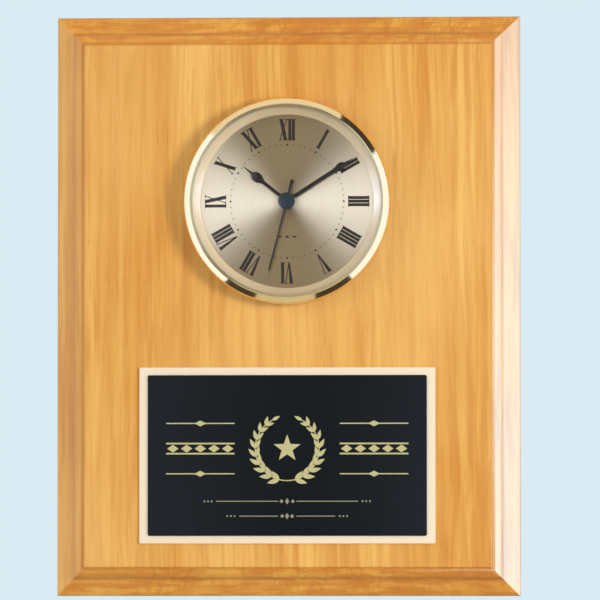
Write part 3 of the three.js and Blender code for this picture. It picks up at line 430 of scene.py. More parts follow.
# Pale, straight-grained wood under a satin lacquer. The trunk's axis runs nearly along Z behind
# the board, so the rings show as long stripes on the face and as arcs on the ends.
def wood():
    finish = Finish("lacquered_wood", Specular_IOR_Level=0.25, Coat_Roughness=0.33, Coat_IOR=2.4)
    trunk = finish.mapping(finish.place, location=(0.035, -0.13, 0), rotation=(2.2, 1.4, 0))
    radius = finish.times(finish.reach(trunk, (1, 1, 0)), 210)
    wander = finish.times(finish.noise(finish.place, (9, 9, 2.2), detail=3), 3.2)
    late = finish.math("FRACT", finish.math("ADD", radius, wander))
    levels = ((0.0, 0.35), (0.08, 0.0), (0.7, 0.25), (0.97, 1), (1.0, 0.35))
    ring_tone = finish.ramp(late, [(position, grey(level)) for position, level in levels])
    sway = finish.add("ShaderNodeTexNoise", {
        "Vector": finish.mapping(finish.place, scale=(26, 26, 17)), "Scale": 1, "Detail": 3})
    bend = finish.vector("MULTIPLY", sway.outputs["Color"], (0.0045, 0.0045, 0))
    grain = finish.vector("ADD", finish.place, bend)
    fibre = finish.noise(grain, (620, 620, 11), detail=4, roughness=0.6)
    vein = finish.noise(grain, (330, 330, 13), detail=3, roughness=0.6)
    streak = finish.noise(grain, (75, 75, 4), detail=3)
    blotch = finish.noise(finish.place, (22, 22, 12))
    fleck = finish.noise(grain, (1500, 1500, 60))
    pores = finish.remap(fleck, 0.6, 0.76, smooth=True)

    tone = finish.remap(streak, 0.3, 0.7, smooth=True)
    tone = finish.mix(tone, linear(238, 187, 98), linear(221, 156, 68))
    for share, colour in (
            (finish.times(ring_tone, 0.42), (200, 126, 50)),
            (finish.remap(vein, 0.45, 0.66, 0, 0.68, smooth=True), (202, 129, 50)),
            (finish.remap(fibre, 0.4, 0.7, 0, 0.6), (208, 140, 60)),
            (finish.remap(blotch, 0.35, 0.7, 0, 0.5), (242, 192, 112)),
            (finish.times(pores, 0.3), (176, 100, 34))):
        tone = finish.mix(share, tone, linear(*colour))

    # The board's back has none of the moulding's tones. The right-facing moulding takes a stronger coat,
    # a painted sheen on the side where the light falls, and the painted shade along its lines is fainter
    # there.
    normal = finish.add("ShaderNodeSeparateXYZ", {0: finish.coordinates.outputs["Normal"]}).outputs
    end_face = finish.remap(finish.math("ABSOLUTE", normal["Z"]), 0.02, 0.3, smooth=True)
    not_back = finish.math("LESS_THAN", normal["Y"], 0.5)
    spot = finish.add("ShaderNodeSeparateXYZ", {0: finish.place}).outputs
    from_end = finish.math("SUBTRACT", board_high.z * MM, finish.math("ABSOLUTE", spot["Z"]))
    from_side = finish.math("SUBTRACT", board_high.x * MM, finish.math("ABSOLUTE", spot["X"]))
    from_edge = finish.math("MINIMUM", from_end, from_side)
    foot = (EDGE_WIDTH + COVE_WIDTH) * MM
    quirk = (MOULDING_WIDTH - QUIRK_WIDTH) * MM
    moulded = finish.times(not_back, finish.math("LESS_THAN", from_edge, quirk))
    # Right-facing moulding, where the light falls: a stronger coat for a painted sheen, and lighter
    # painted shade.
    right_side_sheen = finish.times(moulded, finish.remap(normal["X"], 0.02, 0.3, smooth=True))
    groove_shade_weight = finish.math("SUBTRACT", not_back, finish.times(right_side_sheen, 0.75))
    # Painted shade along the quirk and the foot of the cove, in a darker wood colour.
    for line in (foot, quirk):
        away = finish.math("ABSOLUTE", finish.math("SUBTRACT", from_edge, line))
        shadow = finish.remap(away, 0, GROOVE_REACH * MM, GROOVE_SHADE, 0, smooth=True)
        tone = finish.mix(finish.times(groove_shade_weight, shadow), tone, linear(180, 104, 34))

    # The mouldings at the head and the foot, up to the mitres, are cut across the grain.
    past_mitre = finish.times(moulded, finish.math("LESS_THAN", from_end, from_side))
    sweep = finish.noise(grain, (55, 380, 380), detail=3)
    swept = finish.times(past_mitre, finish.remap(sweep, 0.42, 0.62, 0, 0.6, smooth=True))
    tone = finish.mix(swept, tone, linear(200, 124, 40))
    cut_end = finish.math("ADD", finish.times(moulded, 0.3), finish.times(past_mitre, 0.45))
    end = finish.math("MAXIMUM", end_face, cut_end)
    end_tone = finish.mix(1.0, tone, linear(250, 236, 184), blend="MULTIPLY")
    coat = finish.remap(moulded, 0, 1, 0.03, 0.16)
    finish.set(
        Base_Color=finish.mix(end, tone, end_tone),
        Roughness=finish.remap(fibre, 0.3, 0.7, 0.36, 0.5),
        Coat_Weight=finish.math("ADD", coat, finish.times(right_side_sheen, 0.74)),
    )
    finish.bump(finish.math("SUBTRACT", fibre, finish.times(pores, 0.6)), 0.018)
    return finish.material


# Polished, but for the dull lip inside the crest.
def polished_gold():
    finish = Finish("polished_gold", Metallic=1.0)
    haze = finish.noise(finish.place, 60, detail=3)
    scratch = finish.noise(finish.place, 2400)
    band = finish.remap(from_clock_axis(finish), (BEZEL_CREST - 0.3) * MM, (BEZEL_CREST - 0.1) * MM)
    polish = finish.mix(haze, linear(247, 226, 176), linear(251, 233, 190))
    gloss = finish.remap(band, 0, 1, 0.5, 0.1)
    finish.set(
        Base_Color=finish.mix(band, linear(196, 182, 142), polish),
        Roughness=finish.math("SUBTRACT", gloss, finish.times(haze, 0.05)),
    )
    finish.bump(scratch, 0.0006)
    return finish.material


# Brass turned on a lathe: very fine grooves round the clock's axis.
def dial_brass():
    finish = Finish("brushed_brass", Metallic=1.0, Anisotropic=0.9, Anisotropic_Rotation=0.25)
    spread = finish.add("ShaderNodeCombineXYZ", {"X": from_clock_axis(finish)}).outputs[0]
    groove = finish.noise(spread, 4200, detail=3, roughness=0.7)
    band = finish.noise(spread, 420)
    finish.set(Tangent=finish.add("ShaderNodeTangent", direction_type="RADIAL", axis="Y").outputs[0])
    tones = linear(238, 219, 182), linear(246, 230, 196)
    return finish.surface(band, tones, groove, (0.29, 0.37), 0.0015)


# Clear crystal: what it doesn't mirror passes straight through.
def crystal():
    material = bpy.data.materials.new("clear_crystal")
    tree = Tree(material)
    tree.nodes.clear()
    smear = tree.noise(tree.add("ShaderNodeTexCoord").outputs["Object"], 90)
    clear = tree.add("ShaderNodeBsdfTransparent", {"Color": (0.985, 0.985, 0.98, 1)})
    mirror = tree.add("ShaderNodeBsdfGlossy", {"Roughness": tree.remap(smear, 0.3, 0.7, 0.0, 0.03)})
    fresnel = tree.add("ShaderNodeFresnel", {"IOR": 1.25}).outputs[0]
    outside = tree.math("SUBTRACT", 1.0, tree.add("ShaderNodeNewGeometry").outputs["Backfacing"])
    share = tree.times(fresnel, outside)
    both = tree.add("ShaderNodeMixShader", {0: share, 1: clear.outputs[0], 2: mirror.outputs[0]})
    tree.add("ShaderNodeOutputMaterial", {"Surface": both.outputs[0]})
    return material


def satin_gold():
    finish = Finish("satin_gold", Metallic=0.4)
    brushed = finish.noise(finish.place, (30, 30, 2600), detail=3)
    tones = linear(252, 232, 196), linear(255, 238, 206)
    return finish.surface(brushed, tones, brushed, (0.52, 0.62), 0.001)


def black_lacquer():
    finish = Finish("black_lacquer", Specular_IOR_Level=0.14)
    cloud = finish.noise(finish.place, 40)
    peel = finish.noise(finish.place, 1500)
    return finish.surface(cloud, (linear(13, 18, 20), linear(17, 23, 26)), peel, (0.26, 0.36), 0.002)


# Engraved strokes are cut by fine parallel passes of the tool.
def engraved(name, colour):
    finish = Finish(name, Metallic=0.55)
    passes = finish.noise(finish.place, (300, 300, 5200))
    return finish.surface(passes, (shade(colour, 0.86), shade(colour, 1.08)), passes, (0.42, 0.58), 0.006)


def cream_ring():
    finish = Finish("satin_cream")
    cloud = finish.noise(finish.place, 110)
    return finish.surface(cloud, (linear(180, 157, 118), linear(186, 164, 126)), cloud, (0.34, 0.42))


def wound_copper():
    finish = Finish("enamelled_copper", Metallic=0.9, Coat_Weight=0.4)
    wave = finish.add("ShaderNodeTexWave", {
        "Vector": finish.place, "Scale": 1600.0, "Distortion": 0.4}, bands_direction="Z").outputs["Fac"]
    finish.set(
        Base_Color=finish.mix(wave, linear(130, 62, 30), linear(205, 122, 70)),
        Roughness=finish.remap(wave, 0, 1, 0.3, 0.42),
    )
    finish.bump(wave, 0.05)
    return finish.material


def circuit_green():
    finish = Finish("solder_mask", Coat_Weight=0.3)
    tracks = finish.add("ShaderNodeTexBrick", {
        "Vector": finish.mapping(finish.place, rotation=(90, 0, 0), scale=(420, 420, 420)),
        "Color1": linear(28, 86, 52), "Color2": linear(24, 76, 46), "Mortar": linear(44, 116, 70),
        "Mortar Size": 0.06, "Scale": 1.0}).outputs
    finish.set(Base_Color=tracks["Color"], Roughness=finish.remap(tracks["Fac"], 0, 1, 0.4, 0.5))
    finish.bump(tracks["Fac"], 0.02)
    return finish.material


def painted_metal(name, colour, roughness=0.35, **constants):
    return mottled(name, colour, roughness, spread=0.12, grain=300, fine=2600, depth=0.002, **constants)


FINISHES = {
    "wood": wood(),
    "tape": mottled("foam_tape", linear(232, 230, 222), 0.85, depth=0.02),
    "gold_plate": satin_gold(),
    "black_plate": black_lacquer(),
    "engraved_gold": engraved("engraved_gold", linear(216, 206, 146)),
    "engraved_grey": engraved("engraved_grey_gold", linear(168, 160, 132)),
    "black_plastic": mottled("black_plastic", linear(36, 36, 38), 0.5, depth=0.012),
    "rubber": mottled("rubber", linear(30, 30, 31), 0.8, depth=0.02),
    "polished_gold": polished_gold(),
    "glass": crystal(),
    "cream": cream_ring(),
    "dial_brass": dial_brass(),
    "white_plastic": mottled("white_plastic", linear(226, 223, 214), 0.45),
    "steel": mottled("steel", linear(196, 199, 204), 0.3, depth=0.002, Metallic=1.0),
    "copper": wound_copper(),
    "circuit_green": circuit_green(),
    "battery_jacket": painted_metal("battery_jacket", linear(46, 66, 88), Metallic=0.4),
    "battery_band": painted_metal("battery_band", linear(196, 132, 70), Metallic=0.7),
    "magnet": mottled("magnet", linear(92, 92, 96), 0.5, Metallic=0.6),
    "hand_black": painted_metal("hand_paint", linear(34, 25, 20), Coat_Weight=0.3),
    "hub_blue": painted_metal("hub_paint", linear(38, 52, 64), 0.22, Coat_Weight=0.5),
    "ink": painted_metal("dial_ink", linear(44, 34, 26), 0.5),
}


# Board and plates

ARRIS = 0.3
KEYHOLE_TOP_MARGIN = 26.5
KEYHOLE_RADIUS = 4.75
KEYHOLE_SLOT = 2.5
KEYHOLE_TRAVEL = 13
KEYHOLE_LIP = 3
KEYHOLE_DEPTH = 9
HOLE_RADIUS = 40
CUT_PAST = 1


def bezier(*corners):
    points = interpolate_bezier(*(Vector((a, b, 0)) for a, b in corners), CURVE_STEPS)
    return [(point.x, point.y) for point in points]


# Points of inset from the edge and level, from the flat face round the moulding to the back.
def moulding_profile():
    cove_turn = EDGE_WIDTH
    bead_turn = cove_turn + COVE_WIDTH
    quirk_turn = bead_turn + BEAD_WIDTH
    bead_top = FACE + QUIRK_DEPTH
    bead_foot = bead_top + BEAD_DEPTH
    cove_foot = bead_foot + COVE_DEPTH
    edge_foot = cove_foot + EDGE_DEPTH
    bead_run, bead_drop = CURVE_PULL * BEAD_WIDTH, CURVE_PULL * BEAD_DEPTH
    cove_run, cove_drop = CURVE_PULL * COVE_WIDTH, CURVE_PULL * COVE_DEPTH
    edge_run, edge_drop = EDGE_PULL * EDGE_WIDTH, EDGE_PULL * EDGE_DEPTH
    quirk = rounded([
        (MOULDING_WIDTH + CUT_PAST, FACE), (MOULDING_WIDTH, FACE, ARRIS), (quirk_turn, bead_top)],
        closed=False)
    bead = bezier(
        (quirk_turn, bead_top), (quirk_turn - bead_run, bead_top + BEAD_SLOPE * bead_run),
        (bead_turn + bead_drop / STEEP_SLOPE, bead_foot - bead_drop), (bead_turn, bead_foot))
    cove = bezier(
        (bead_turn, bead_foot), (bead_turn - cove_drop / STEEP_SLOPE, bead_foot + cove_drop),
        (cove_turn + cove_run, cove_foot - COVE_SLOPE * cove_run), (cove_turn, cove_foot))
    edge = bezier(
        (cove_turn, cove_foot), (cove_turn - edge_run, cove_foot + COVE_SLOPE * edge_run),
        (0, cove_foot + edge_drop), (0, edge_foot))
    foot = rounded([(0, edge_foot), (0, 0, ARRIS), (CUT_PAST, 0)], closed=False)
    return quirk + bead[1:] + cove[1:] + edge[1:] + foot[1:]


def moulded_block(profile):
    shape = bmesh.new()
    rings = []
    for inset, level in profile:
        x, low, high = board_high.x - inset, board_low.z + inset, board_high.z - inset
        corners = [(-x, low), (x, low), (x, high), (-x, high)]
        rings.append([shape.verts.new((a, level, b)) for a, b in corners])
    join_rings(shape, rings, capped=True)
    return shape


def add_board():
    made = piece("board_wood", moulded_block(moulding_profile()), "wood", "plaque", ["board"])
    entry_z = board_high.z - KEYHOLE_TOP_MARGIN
    slot_end = entry_z + KEYHOLE_TRAVEL

    def keyhole(radius):
        return arc(0, slot_end, radius, 0, 180, 24) + arc(0, entry_z, radius, 180, 360, 24)

    front, back = FACE - CUT_PAST, CUT_PAST
    carve(made, [
        turned([(0, front), (HOLE_RADIUS, front), (HOLE_RADIUS, back), (0, back)]),
        add_prism(bmesh.new(), circle(0, entry_z, KEYHOLE_RADIUS), back, -KEYHOLE_DEPTH),
        add_prism(bmesh.new(), keyhole(KEYHOLE_SLOT), back, -KEYHOLE_DEPTH),
        add_prism(bmesh.new(), keyhole(KEYHOLE_RADIUS), -KEYHOLE_LIP, -KEYHOLE_DEPTH),
    ])


PLATE_CORNER = 0.8
PLATE_BEVEL = 0.18


def add_plate(name, node, finish):
    low, high = span(node)
    outline = rounded_rectangle(low.x, low.z, high.x, high.z, PLATE_CORNER)
    piece(name, bevelled([outline], high.y, low.y, PLATE_BEVEL), finish, "plaque", [node])


# The plate's engraving: a laurel wreath with a star, between rules with lozenges

INLAY_SINK = 0.02
INLAY_RISE = 0.05
LAYER_STEP = 0.01
PLATE_X, PLATE_Z = middle("engraving_plate")
PLATE_FACE = span("engraving_plate")[0].y


# Adds one closed stroke of the design; layer keeps strokes that cross from sharing a level.
def add_stroke(shape, outline, layer=0):
    front = PLATE_FACE - INLAY_RISE - LAYER_STEP * layer
    add_prism(shape, [(PLATE_X + x, PLATE_Z + z) for x, z in outline], PLATE_FACE + INLAY_SINK, front)


def lozenge(x, z, half_width, half_height):
    return [(x - half_width, z), (x, z + half_height), (x + half_width, z), (x, z - half_height)]


def rule(start, end, z, thickness):
    half = thickness / 2
    return [(start, z - half), (end, z - half), (end, z + half), (start, z + half)]


def star(points, outer, inner, z):
    turns = [math.pi * k / points for k in range(2 * points)]
    return [(reach * math.sin(turn), z + reach * math.cos(turn))
            for reach, turn in zip([outer, inner] * points, turns)]


# A leaf that starts at the origin and points up.
def leaf(length, width):
    shares = [k / LEAF_STEPS for k in range(LEAF_STEPS + 1)]
    side = [(width / 2 * math.sin(math.pi * share ** 0.8), length * share) for share in shares]
    return side + [(-u, v) for u, v in reversed(side[1:-1])]


WREATH_RADIUS = 14
WREATH_LEAVES = 9
WREATH_START = 14
WREATH_END = 152
LEAF_LENGTH = 5.6
LEAF_WIDTH = 2.1
LEAF_SPLAY = 30
LEAF_TAPER = 0.3
LEAF_STEPS = 8
STEM_WIDTH = 0.45
STEM_STEPS = 24
WREATH_LIFT = 3


def add_wreath(shape, side):
    def point(radius, degrees):
        turn = math.radians(degrees)
        return side * radius * math.sin(turn), WREATH_LIFT - radius * math.cos(turn)

    step = (WREATH_END - WREATH_START) / WREATH_LEAVES
    for index in range(WREATH_LEAVES + 1):
        angle = WREATH_START + index * step
        scale = 1 - LEAF_TAPER * index / WREATH_LEAVES
        outline = leaf(LEAF_LENGTH * scale, LEAF_WIDTH * scale)
        splays = (-LEAF_SPLAY, LEAF_SPLAY) if index < WREATH_LEAVES else (0,)
        for splay in splays:
            spot = placed(outline, side * (90 - angle) + splay, *point(WREATH_RADIUS, angle))
            add_stroke(shape, spot, layer=1 + (splay > 0))
    angles = [WREATH_END * k / STEM_STEPS for k in range(STEM_STEPS + 1)]
    stem = [point(WREATH_RADIUS + STEM_WIDTH / 2, angle) for angle in angles]
    stem += [point(WREATH_RADIUS - STEM_WIDTH / 2, angle) for angle in reversed(angles)]
    add_stroke(shape, stem)


RULE_START = 23
RULE_END = 53
RULE_TOP = 14
RULE_FOOT = -8
RULE_WIDTH = 0.5
LOZENGE = (2.6, 1.3)
BAND_HEIGHT = 4.4
BAND_RULE_WIDTH = 0.7
BAND_LOZENGES = 5
# Each row as its z, its half length and the pitch of its lozenges
ROWS = ((-20, 31, 2.48), (-26.5, 21, 2.16))
ROW_GAP = 4
ROW_LINE = 0.4


def add_engraving():
    bright = bmesh.new()
    for side in (-1, 1):
        add_wreath(bright, side)
        start, end = side * RULE_START, side * RULE_END
        half_way = (start + end) / 2
        add_stroke(bright, rule(start, end, RULE_TOP, RULE_WIDTH))
        add_stroke(bright, lozenge(half_way, RULE_TOP, *LOZENGE), 1)
        for index in range(BAND_LOZENGES):
            centre = start + (end - start) * (index + 0.5) / BAND_LOZENGES
            add_stroke(bright, lozenge(centre, WREATH_LIFT, 2.5, BAND_HEIGHT / 2 - 0.5), 1)
        for z in (WREATH_LIFT + BAND_HEIGHT / 2, WREATH_LIFT - BAND_HEIGHT / 2):
            add_stroke(bright, rule(start, end, z, BAND_RULE_WIDTH))
        add_stroke(bright, rule(start, end, RULE_FOOT, RULE_WIDTH))
        add_stroke(bright, lozenge(half_way, RULE_FOOT, *LOZENGE), 1)
    add_stroke(bright, star(5, 6.2, 2.5, WREATH_LIFT))
    piece("plate_wreath", bright, "engraved_gold", "plaque")

    soft = bmesh.new()
    for z, half, pitch in ROWS:
        for start, end in ((-half, -ROW_GAP), (ROW_GAP, half)):
            add_stroke(soft, rule(start, end, z, ROW_LINE))
        for step in (-1, 0, 1):
            add_stroke(soft, lozenge(step * pitch, z, 0.9, 0.9 if step else 1.4))
        for side in (-1, 1):
            for dot in range(3):
                add_stroke(soft, circle(side * (half + 2 + dot * 1.6), z, 0.42, 12))
    piece("plate_rules", soft, "engraved_grey", "plaque")


# Bezel, lens, ring and dial

def add_bezel():
    low, high = span("bezel")
    radius = (high.x - low.x) / 2
    inner = radius - BEZEL_WALL
    shoulder = high.y - BEZEL_SHOULDER
    lip_back = span("lens")[1].y - LENS_SEAT
    bulge, rise = BEZEL_BULGE
    section = rounded([
        (inner, high.y), (radius, high.y, 0.25), (radius, shoulder, 0.6), (bulge, shoulder - rise, 1.4),
        (BEZEL_CREST, low.y, 0.1), (BEZEL_LIP, lip_back - 0.3, 0.1), (BEZEL_LIP, lip_back)],
        closed=False, steps=8)
    shape = turned(section + [(inner, lip_back)])
    piece("bezel_ring", shape, "polished_gold", "insert", ["bezel"], smooth=50)


LENS_THICKNESS = 1.5
LENS_CHAMFER = 0.25
DOME_STEPS = 24


def add_lens():
    low, high = span("lens")
    radius = (high.x - low.x) / 2
    rise = high.y - low.y - LENS_THICKNESS

    def dome(edge, reach):
        shares = [step / DOME_STEPS for step in range(DOME_STEPS + 1)]
        return [(share * reach, edge - rise * (1 - share * share)) for share in shares]

    side = high.y - LENS_THICKNESS
    front, rear = dome(side, radius - LENS_CHAMFER), dome(high.y, radius)
    profile = front + [(radius, side + LENS_CHAMFER)] + rear[::-1]
    piece("lens_crystal", turned(profile), "glass", "insert", ["lens"])


VIEW_RADIUS = 38
RING_EDGE = 1.3
RING_RIM = 0.5
RING_GAP = 0.25


def add_reflector_ring():
    low, high = span("reflector_ring")
    radius = (high.x - low.x) / 2
    dial_low, dial_high = span("dial")
    dial_front, foot = dial_low.y, dial_high.x + RING_GAP
    profile = rounded([
        (VIEW_RADIUS, dial_front), (VIEW_RADIUS, dial_front - RING_EDGE, 0.15),
        (radius - RING_RIM, low.y, 0.2), (radius, low.y, 0.12), (radius, high.y),
        (foot, high.y), (foot, dial_front)])
    piece("reflector_cream", turned(profile), "cream", "insert", ["reflector_ring"])


DIAL_HOLE = 3.3


def add_dial():
    low, high = span("dial")
    radius = high.x - CLOCK_X
    profile = [(DIAL_HOLE, low.y), (radius, low.y), (radius, high.y), (DIAL_HOLE, high.y)]
    piece("dial_brass", turned(profile), "dial_brass", "insert", ["dial"])


# Numerals and minute track, as ink that stands a little proud of the dial

NUMERAL_FOOT = 26.7
NUMERAL_HEIGHT = 9.3
STROKE = 1.32
STROKE_PITCH = 1.55
HAIRLINE = 0.4
LETTER_WIDTH = 3.5
LETTER_GAP = 0.45
SERIF = 0.32
SERIF_REACH = 0.28
TRACK_RADIUS = 24.8
MINUTE_DOT = 0.24
HOUR_DOT = 0.42
MARK_PITCH = 3.2
MARK_DROP = 15.5
INK_SINK = 0.02
INK_HEIGHTS = {"stroke": 0.045, "hairline": 0.04, "serif": 0.035}
NUMERALS = ["XII", "I", "II", "III", "IIII", "V", "VI", "VII", "VIII", "IX", "X", "XI"]


# The parts of one letter from its left edge, each with its kind of line.
def letter_parts(letter):
    top, width, thick = NUMERAL_HEIGHT, LETTER_WIDTH, 1.15 * STROKE
    head, foot = top - SERIF / 2, SERIF / 2

    def serif(start, end, z):
        return "serif", rule(start - SERIF_REACH, end + SERIF_REACH, z, SERIF)

    if letter == "I":
        return STROKE, [
            ("stroke", [(0, 0), (STROKE, 0), (STROKE, top), (0, top)]),
            serif(0, STROKE, foot), serif(0, STROKE, head)]
    serifs = [serif(0, thick, head), serif(width - HAIRLINE - SERIF_REACH, width, head)]
    if letter == "V":
        centre = width / 2
        return width, serifs + [
            ("stroke", [(0, top), (thick, top), (centre + 0.3, 0), (centre - 0.25, 0)]),
            ("hairline", [(width - HAIRLINE, top), (width, top), (centre + 0.3, 0), (centre - 0.1, 0)])]
    return width, serifs + [
        ("stroke", [(0, top), (thick, top), (width, 0), (width - thick, 0)]),
        ("hairline", [(width - HAIRLINE, top), (width, top), (HAIRLINE, 0), (0, 0)]),
        serif(width - thick, width, foot), serif(0, HAIRLINE + SERIF_REACH, foot)]


def numeral_parts(text):
    parts = []
    pen = 0
    last = ""
    for letter in text:
        if last:
            pen += STROKE_PITCH - STROKE if letter == last == "I" else LETTER_GAP
        width, lines = letter_parts(letter)
        parts += [(kind, [(u + pen, v) for u, v in outline]) for kind, outline in lines]
        pen += width
        last = letter
    return [(kind, [(u - pen / 2, v + NUMERAL_FOOT) for u, v in outline]) for kind, outline in parts]


def add_print():
    front = span("dial")[0].y
    ink = bmesh.new()

    def add_ink(outline, kind):
        add_prism(ink, outline, front + INK_SINK, front - INK_HEIGHTS[kind])

    for hour, text in enumerate(NUMERALS):
        for kind, outline in numeral_parts(text):
            add_ink(placed(outline, 30 * hour, CLOCK_X, CLOCK_Z), kind)
    for minute in range(60):
        radius = MINUTE_DOT if minute % 5 else HOUR_DOT
        [centre] = placed([(0, TRACK_RADIUS)], 6 * minute, CLOCK_X, CLOCK_Z)
        add_ink(circle(*centre, radius, 16), "stroke")
    for step in (-1, 0, 1):
        add_ink(lozenge(CLOCK_X + MARK_PITCH * step, CLOCK_Z - MARK_DROP, 1.1, 0.5), "serif")
    piece("dial_print", ink, "ink", "insert")


# Hands

SHOWN_TIME = (10, 9, 32.4)
HOUR_LEAD = 3.8  # degrees
HAND_BEVEL = 0.09


# Half of a spade hand from the hub up, mirrored: a shaft, a round swell and a long point.
def spade(length, shaft_width, swell_width, swell_at, hub_radius):
    shaft, swell = shaft_width / 2, swell_width / 2
    start = swell_at - 1.1 * swell_width
    point = swell_at + 0.9 * swell_width
    hub_top = math.sqrt(hub_radius ** 2 - shaft ** 2)
    opening = math.degrees(math.asin(shaft / hub_radius))
    side = [(shaft, hub_top)]
    low, high = swell_at - swell, swell_at + swell
    side += bezier((shaft, start), (shaft, low), (swell, low), (swell, swell_at))
    side += bezier((swell, swell_at), (swell, high), (shaft / 2, high), (shaft / 2, point))[1:]
    hub = arc(0, 0, hub_radius, 90 + opening, 450 - opening, 40)
    return hub[:-1] + side + [(0, length)] + [(-u, v) for u, v in reversed(side[1:])]


def add_spade_hand(name, node, body, turns, bore, **sizes):
    low, high = span(node)
    outline = placed(spade(**sizes), 360 * turns, CLOCK_X, CLOCK_Z)
    hole = circle(CLOCK_X, CLOCK_Z, bore, 32)
    piece(name, bevelled([outline, hole], high.y, low.y, HAND_BEVEL), "hand_black", body, [node])


SECOND_LENGTH = 31.5
SECOND_TAIL = 9.6
SECOND_TIP_WIDTH = 0.7
SECOND_TAIL_WIDTH = 1.3
SECOND_BLADE = 0.4
SECOND_BLADE_BACK = 1.2
HUB_CAP_RADIUS = 3.75
HUB_CAP_ROUND = 0.5


def add_second_hand(turns):
    low, high = span("second_hand")
    blade_back = low.y + SECOND_BLADE_BACK
    tip, tail = SECOND_TIP_WIDTH / 2, SECOND_TAIL_WIDTH / 2
    outline = [(-tip, SECOND_LENGTH), (-tip, 0), (-tail, -SECOND_TAIL), (tail, -SECOND_TAIL),
               (tip, 0), (tip, SECOND_LENGTH)]
    spot = placed(outline, 360 * turns, CLOCK_X, CLOCK_Z)
    blade = bevelled([spot], blade_back, blade_back - SECOND_BLADE, HAND_BEVEL)
    piece("second_blade", blade, "hand_black", "seconds", ["second_hand"])
    profile = rounded([
        (0, high.y), (HUB_CAP_RADIUS, high.y, 0.12), (HUB_CAP_RADIUS, low.y, HUB_CAP_ROUND), (0, low.y)])
    piece("hub_cap", turned(profile, steps=96), "hub_blue", "seconds")


def add_hands():
    hours, minutes, seconds = SHOWN_TIME
    second_turns = seconds / 60
    minute_turns = (minutes + second_turns) / 60
    hour_turns = (hours + minute_turns) / 12 + HOUR_LEAD / 360
    add_spade_hand("hour_spade", "hour_hand", "hour", hour_turns, 2.35, length=25.2,
                   shaft_width=1.5, swell_width=4.3, swell_at=16.8, hub_radius=3.6)
    add_spade_hand("minute_spade", "minute_hand", "minute", minute_turns, 1.25, length=35,
                   shaft_width=1.7, swell_width=3.4, swell_at=28, hub_radius=3)
    add_second_hand(second_turns)


# Housing and the clock's back

WALL_OUTER = 38.4
WALL_INNER = 36.9
FLOOR_THICKNESS = 1.5
FLOOR_INSET = 0.02
SCREW_HOLE = 1.1
WINDOW_MARGIN = 0.3
CASE_CORNER = 8
EAR_SCREW_X = 30.5


def add_housing():
    low, high = span("clock_housing")
    flange_radius = high.x - CLOCK_X
    floor_front = high.y - FLOOR_THICKNESS
    case_low, case_high = span("movement_case_front")
    case_half = (case_high.z - case_low.z) / 2
    can = rounded([
        (WALL_INNER, low.y), (flange_radius, low.y, 0.3), (flange_radius, FACE, 0.2),
        (WALL_OUTER, FACE, 0.3), (WALL_OUTER, high.y, 0.6), (WALL_INNER, high.y)])
    piece("housing_can", turned(can), "black_plastic", "insert", ["clock_housing"])
    half = case_half + WINDOW_MARGIN
    window = rounded_rectangle(
        CLOCK_X - half, CLOCK_Z - half, CLOCK_X + half, CLOCK_Z + half, CASE_CORNER + WINDOW_MARGIN, 12)
    outlines = [circle(CLOCK_X, CLOCK_Z, WALL_OUTER - 0.3, 192), window]
    outlines += [circle(CLOCK_X + x, CLOCK_Z, SCREW_HOLE, 32) for x in (-EAR_SCREW_X, EAR_SCREW_X)]
    floor = bevelled(outlines, high.y - FLOOR_INSET, floor_front + FLOOR_INSET, 0.2)
    piece("housing_floor", floor, "black_plastic", "insert")


SCREW_HEAD = 1.0
SCREW_SHANK = 0.8
SCREW_SLOT = 0.5


# A pan-head screw with a slot across its head, as deep as it is wide.
def add_screw(node, turn):
    low, high = span(node)
    x, z = middle(node)
    radius = (high.x - low.x) / 2
    head_foot = high.y - SCREW_HEAD
    profile = rounded([
        (0, low.y + 0.2), (SCREW_SHANK, low.y + 0.2), (SCREW_SHANK, head_foot), (radius, head_foot, 0.1),
        (radius, high.y, 0.35), (0, high.y)])
    made = piece(node + "_head", turned(profile, place=(x, 0, z), steps=48), "steel", "insert", [node])
    slot = placed(rule(-3, 3, 0, SCREW_SLOT), turn, x, z)
    carve(made, [add_prism(bmesh.new(), slot, high.y + 1, high.y - SCREW_SLOT)])


def add_screws():
    for index, name in enumerate(("case_screw_1", "case_screw_2", "movement_screw_1", "movement_screw_2")):
        add_screw(name, 25 + 40 * index)


COVER_BEVEL = 0.2
SHAFT_HOLE = 1.7


def add_cover():
    low, high = span("movement_case_back")
    corners = [(low.x, low.z, 0.3), (high.x, low.z, 0.3)]
    corners += [(high.x, high.z, CASE_CORNER), (low.x, high.z, CASE_CORNER)]
    outlines = [rounded(corners, steps=12), circle(*middle("setting_shaft"), SHAFT_HOLE, 40)]
    outlines += [circle(*middle(name), SCREW_HOLE, 32) for name in ("case_screw_1", "case_screw_2")]
    cover = bevelled(outlines, high.y, low.y, COVER_BEVEL)
    piece("movement_cover", cover, "black_plastic", "insert", ["movement_case_back"])


KNOB_RIDGES = 30
KNOB_RIDGE_DEPTH = 0.35


def add_knob():
    low, high = span("setting_knob")
    x, z = middle("setting_knob")
    radius = (high.x - low.x) / 2
    steps = KNOB_RIDGES * 8
    levels = [
        (low.y, radius - 0.35, KNOB_RIDGE_DEPTH), (low.y + 0.35, radius, KNOB_RIDGE_DEPTH),
        (high.y - 0.4, radius, KNOB_RIDGE_DEPTH), (high.y, radius - 0.5, KNOB_RIDGE_DEPTH),
        (high.y, radius - 1.4, 0), (high.y - 0.45, radius - 1.8, 0)]
    shape = bmesh.new()
    rings = []
    for level, reach, depth in levels:
        ring = []
        for turn in (TURN * k / steps for k in range(steps)):
            r = reach - depth * (0.5 - 0.5 * math.cos(KNOB_RIDGES * turn))
            ring.append(shape.verts.new((x + r * math.sin(turn), level, z + r * math.cos(turn))))
        rings.append(ring)
    join_rings(shape, rings, capped=True)
    piece("knob_ridged", shape, "black_plastic", "setting", ["setting_knob"])


BATTERY_CAP = 1.0
JACKET_SHARE = 0.72


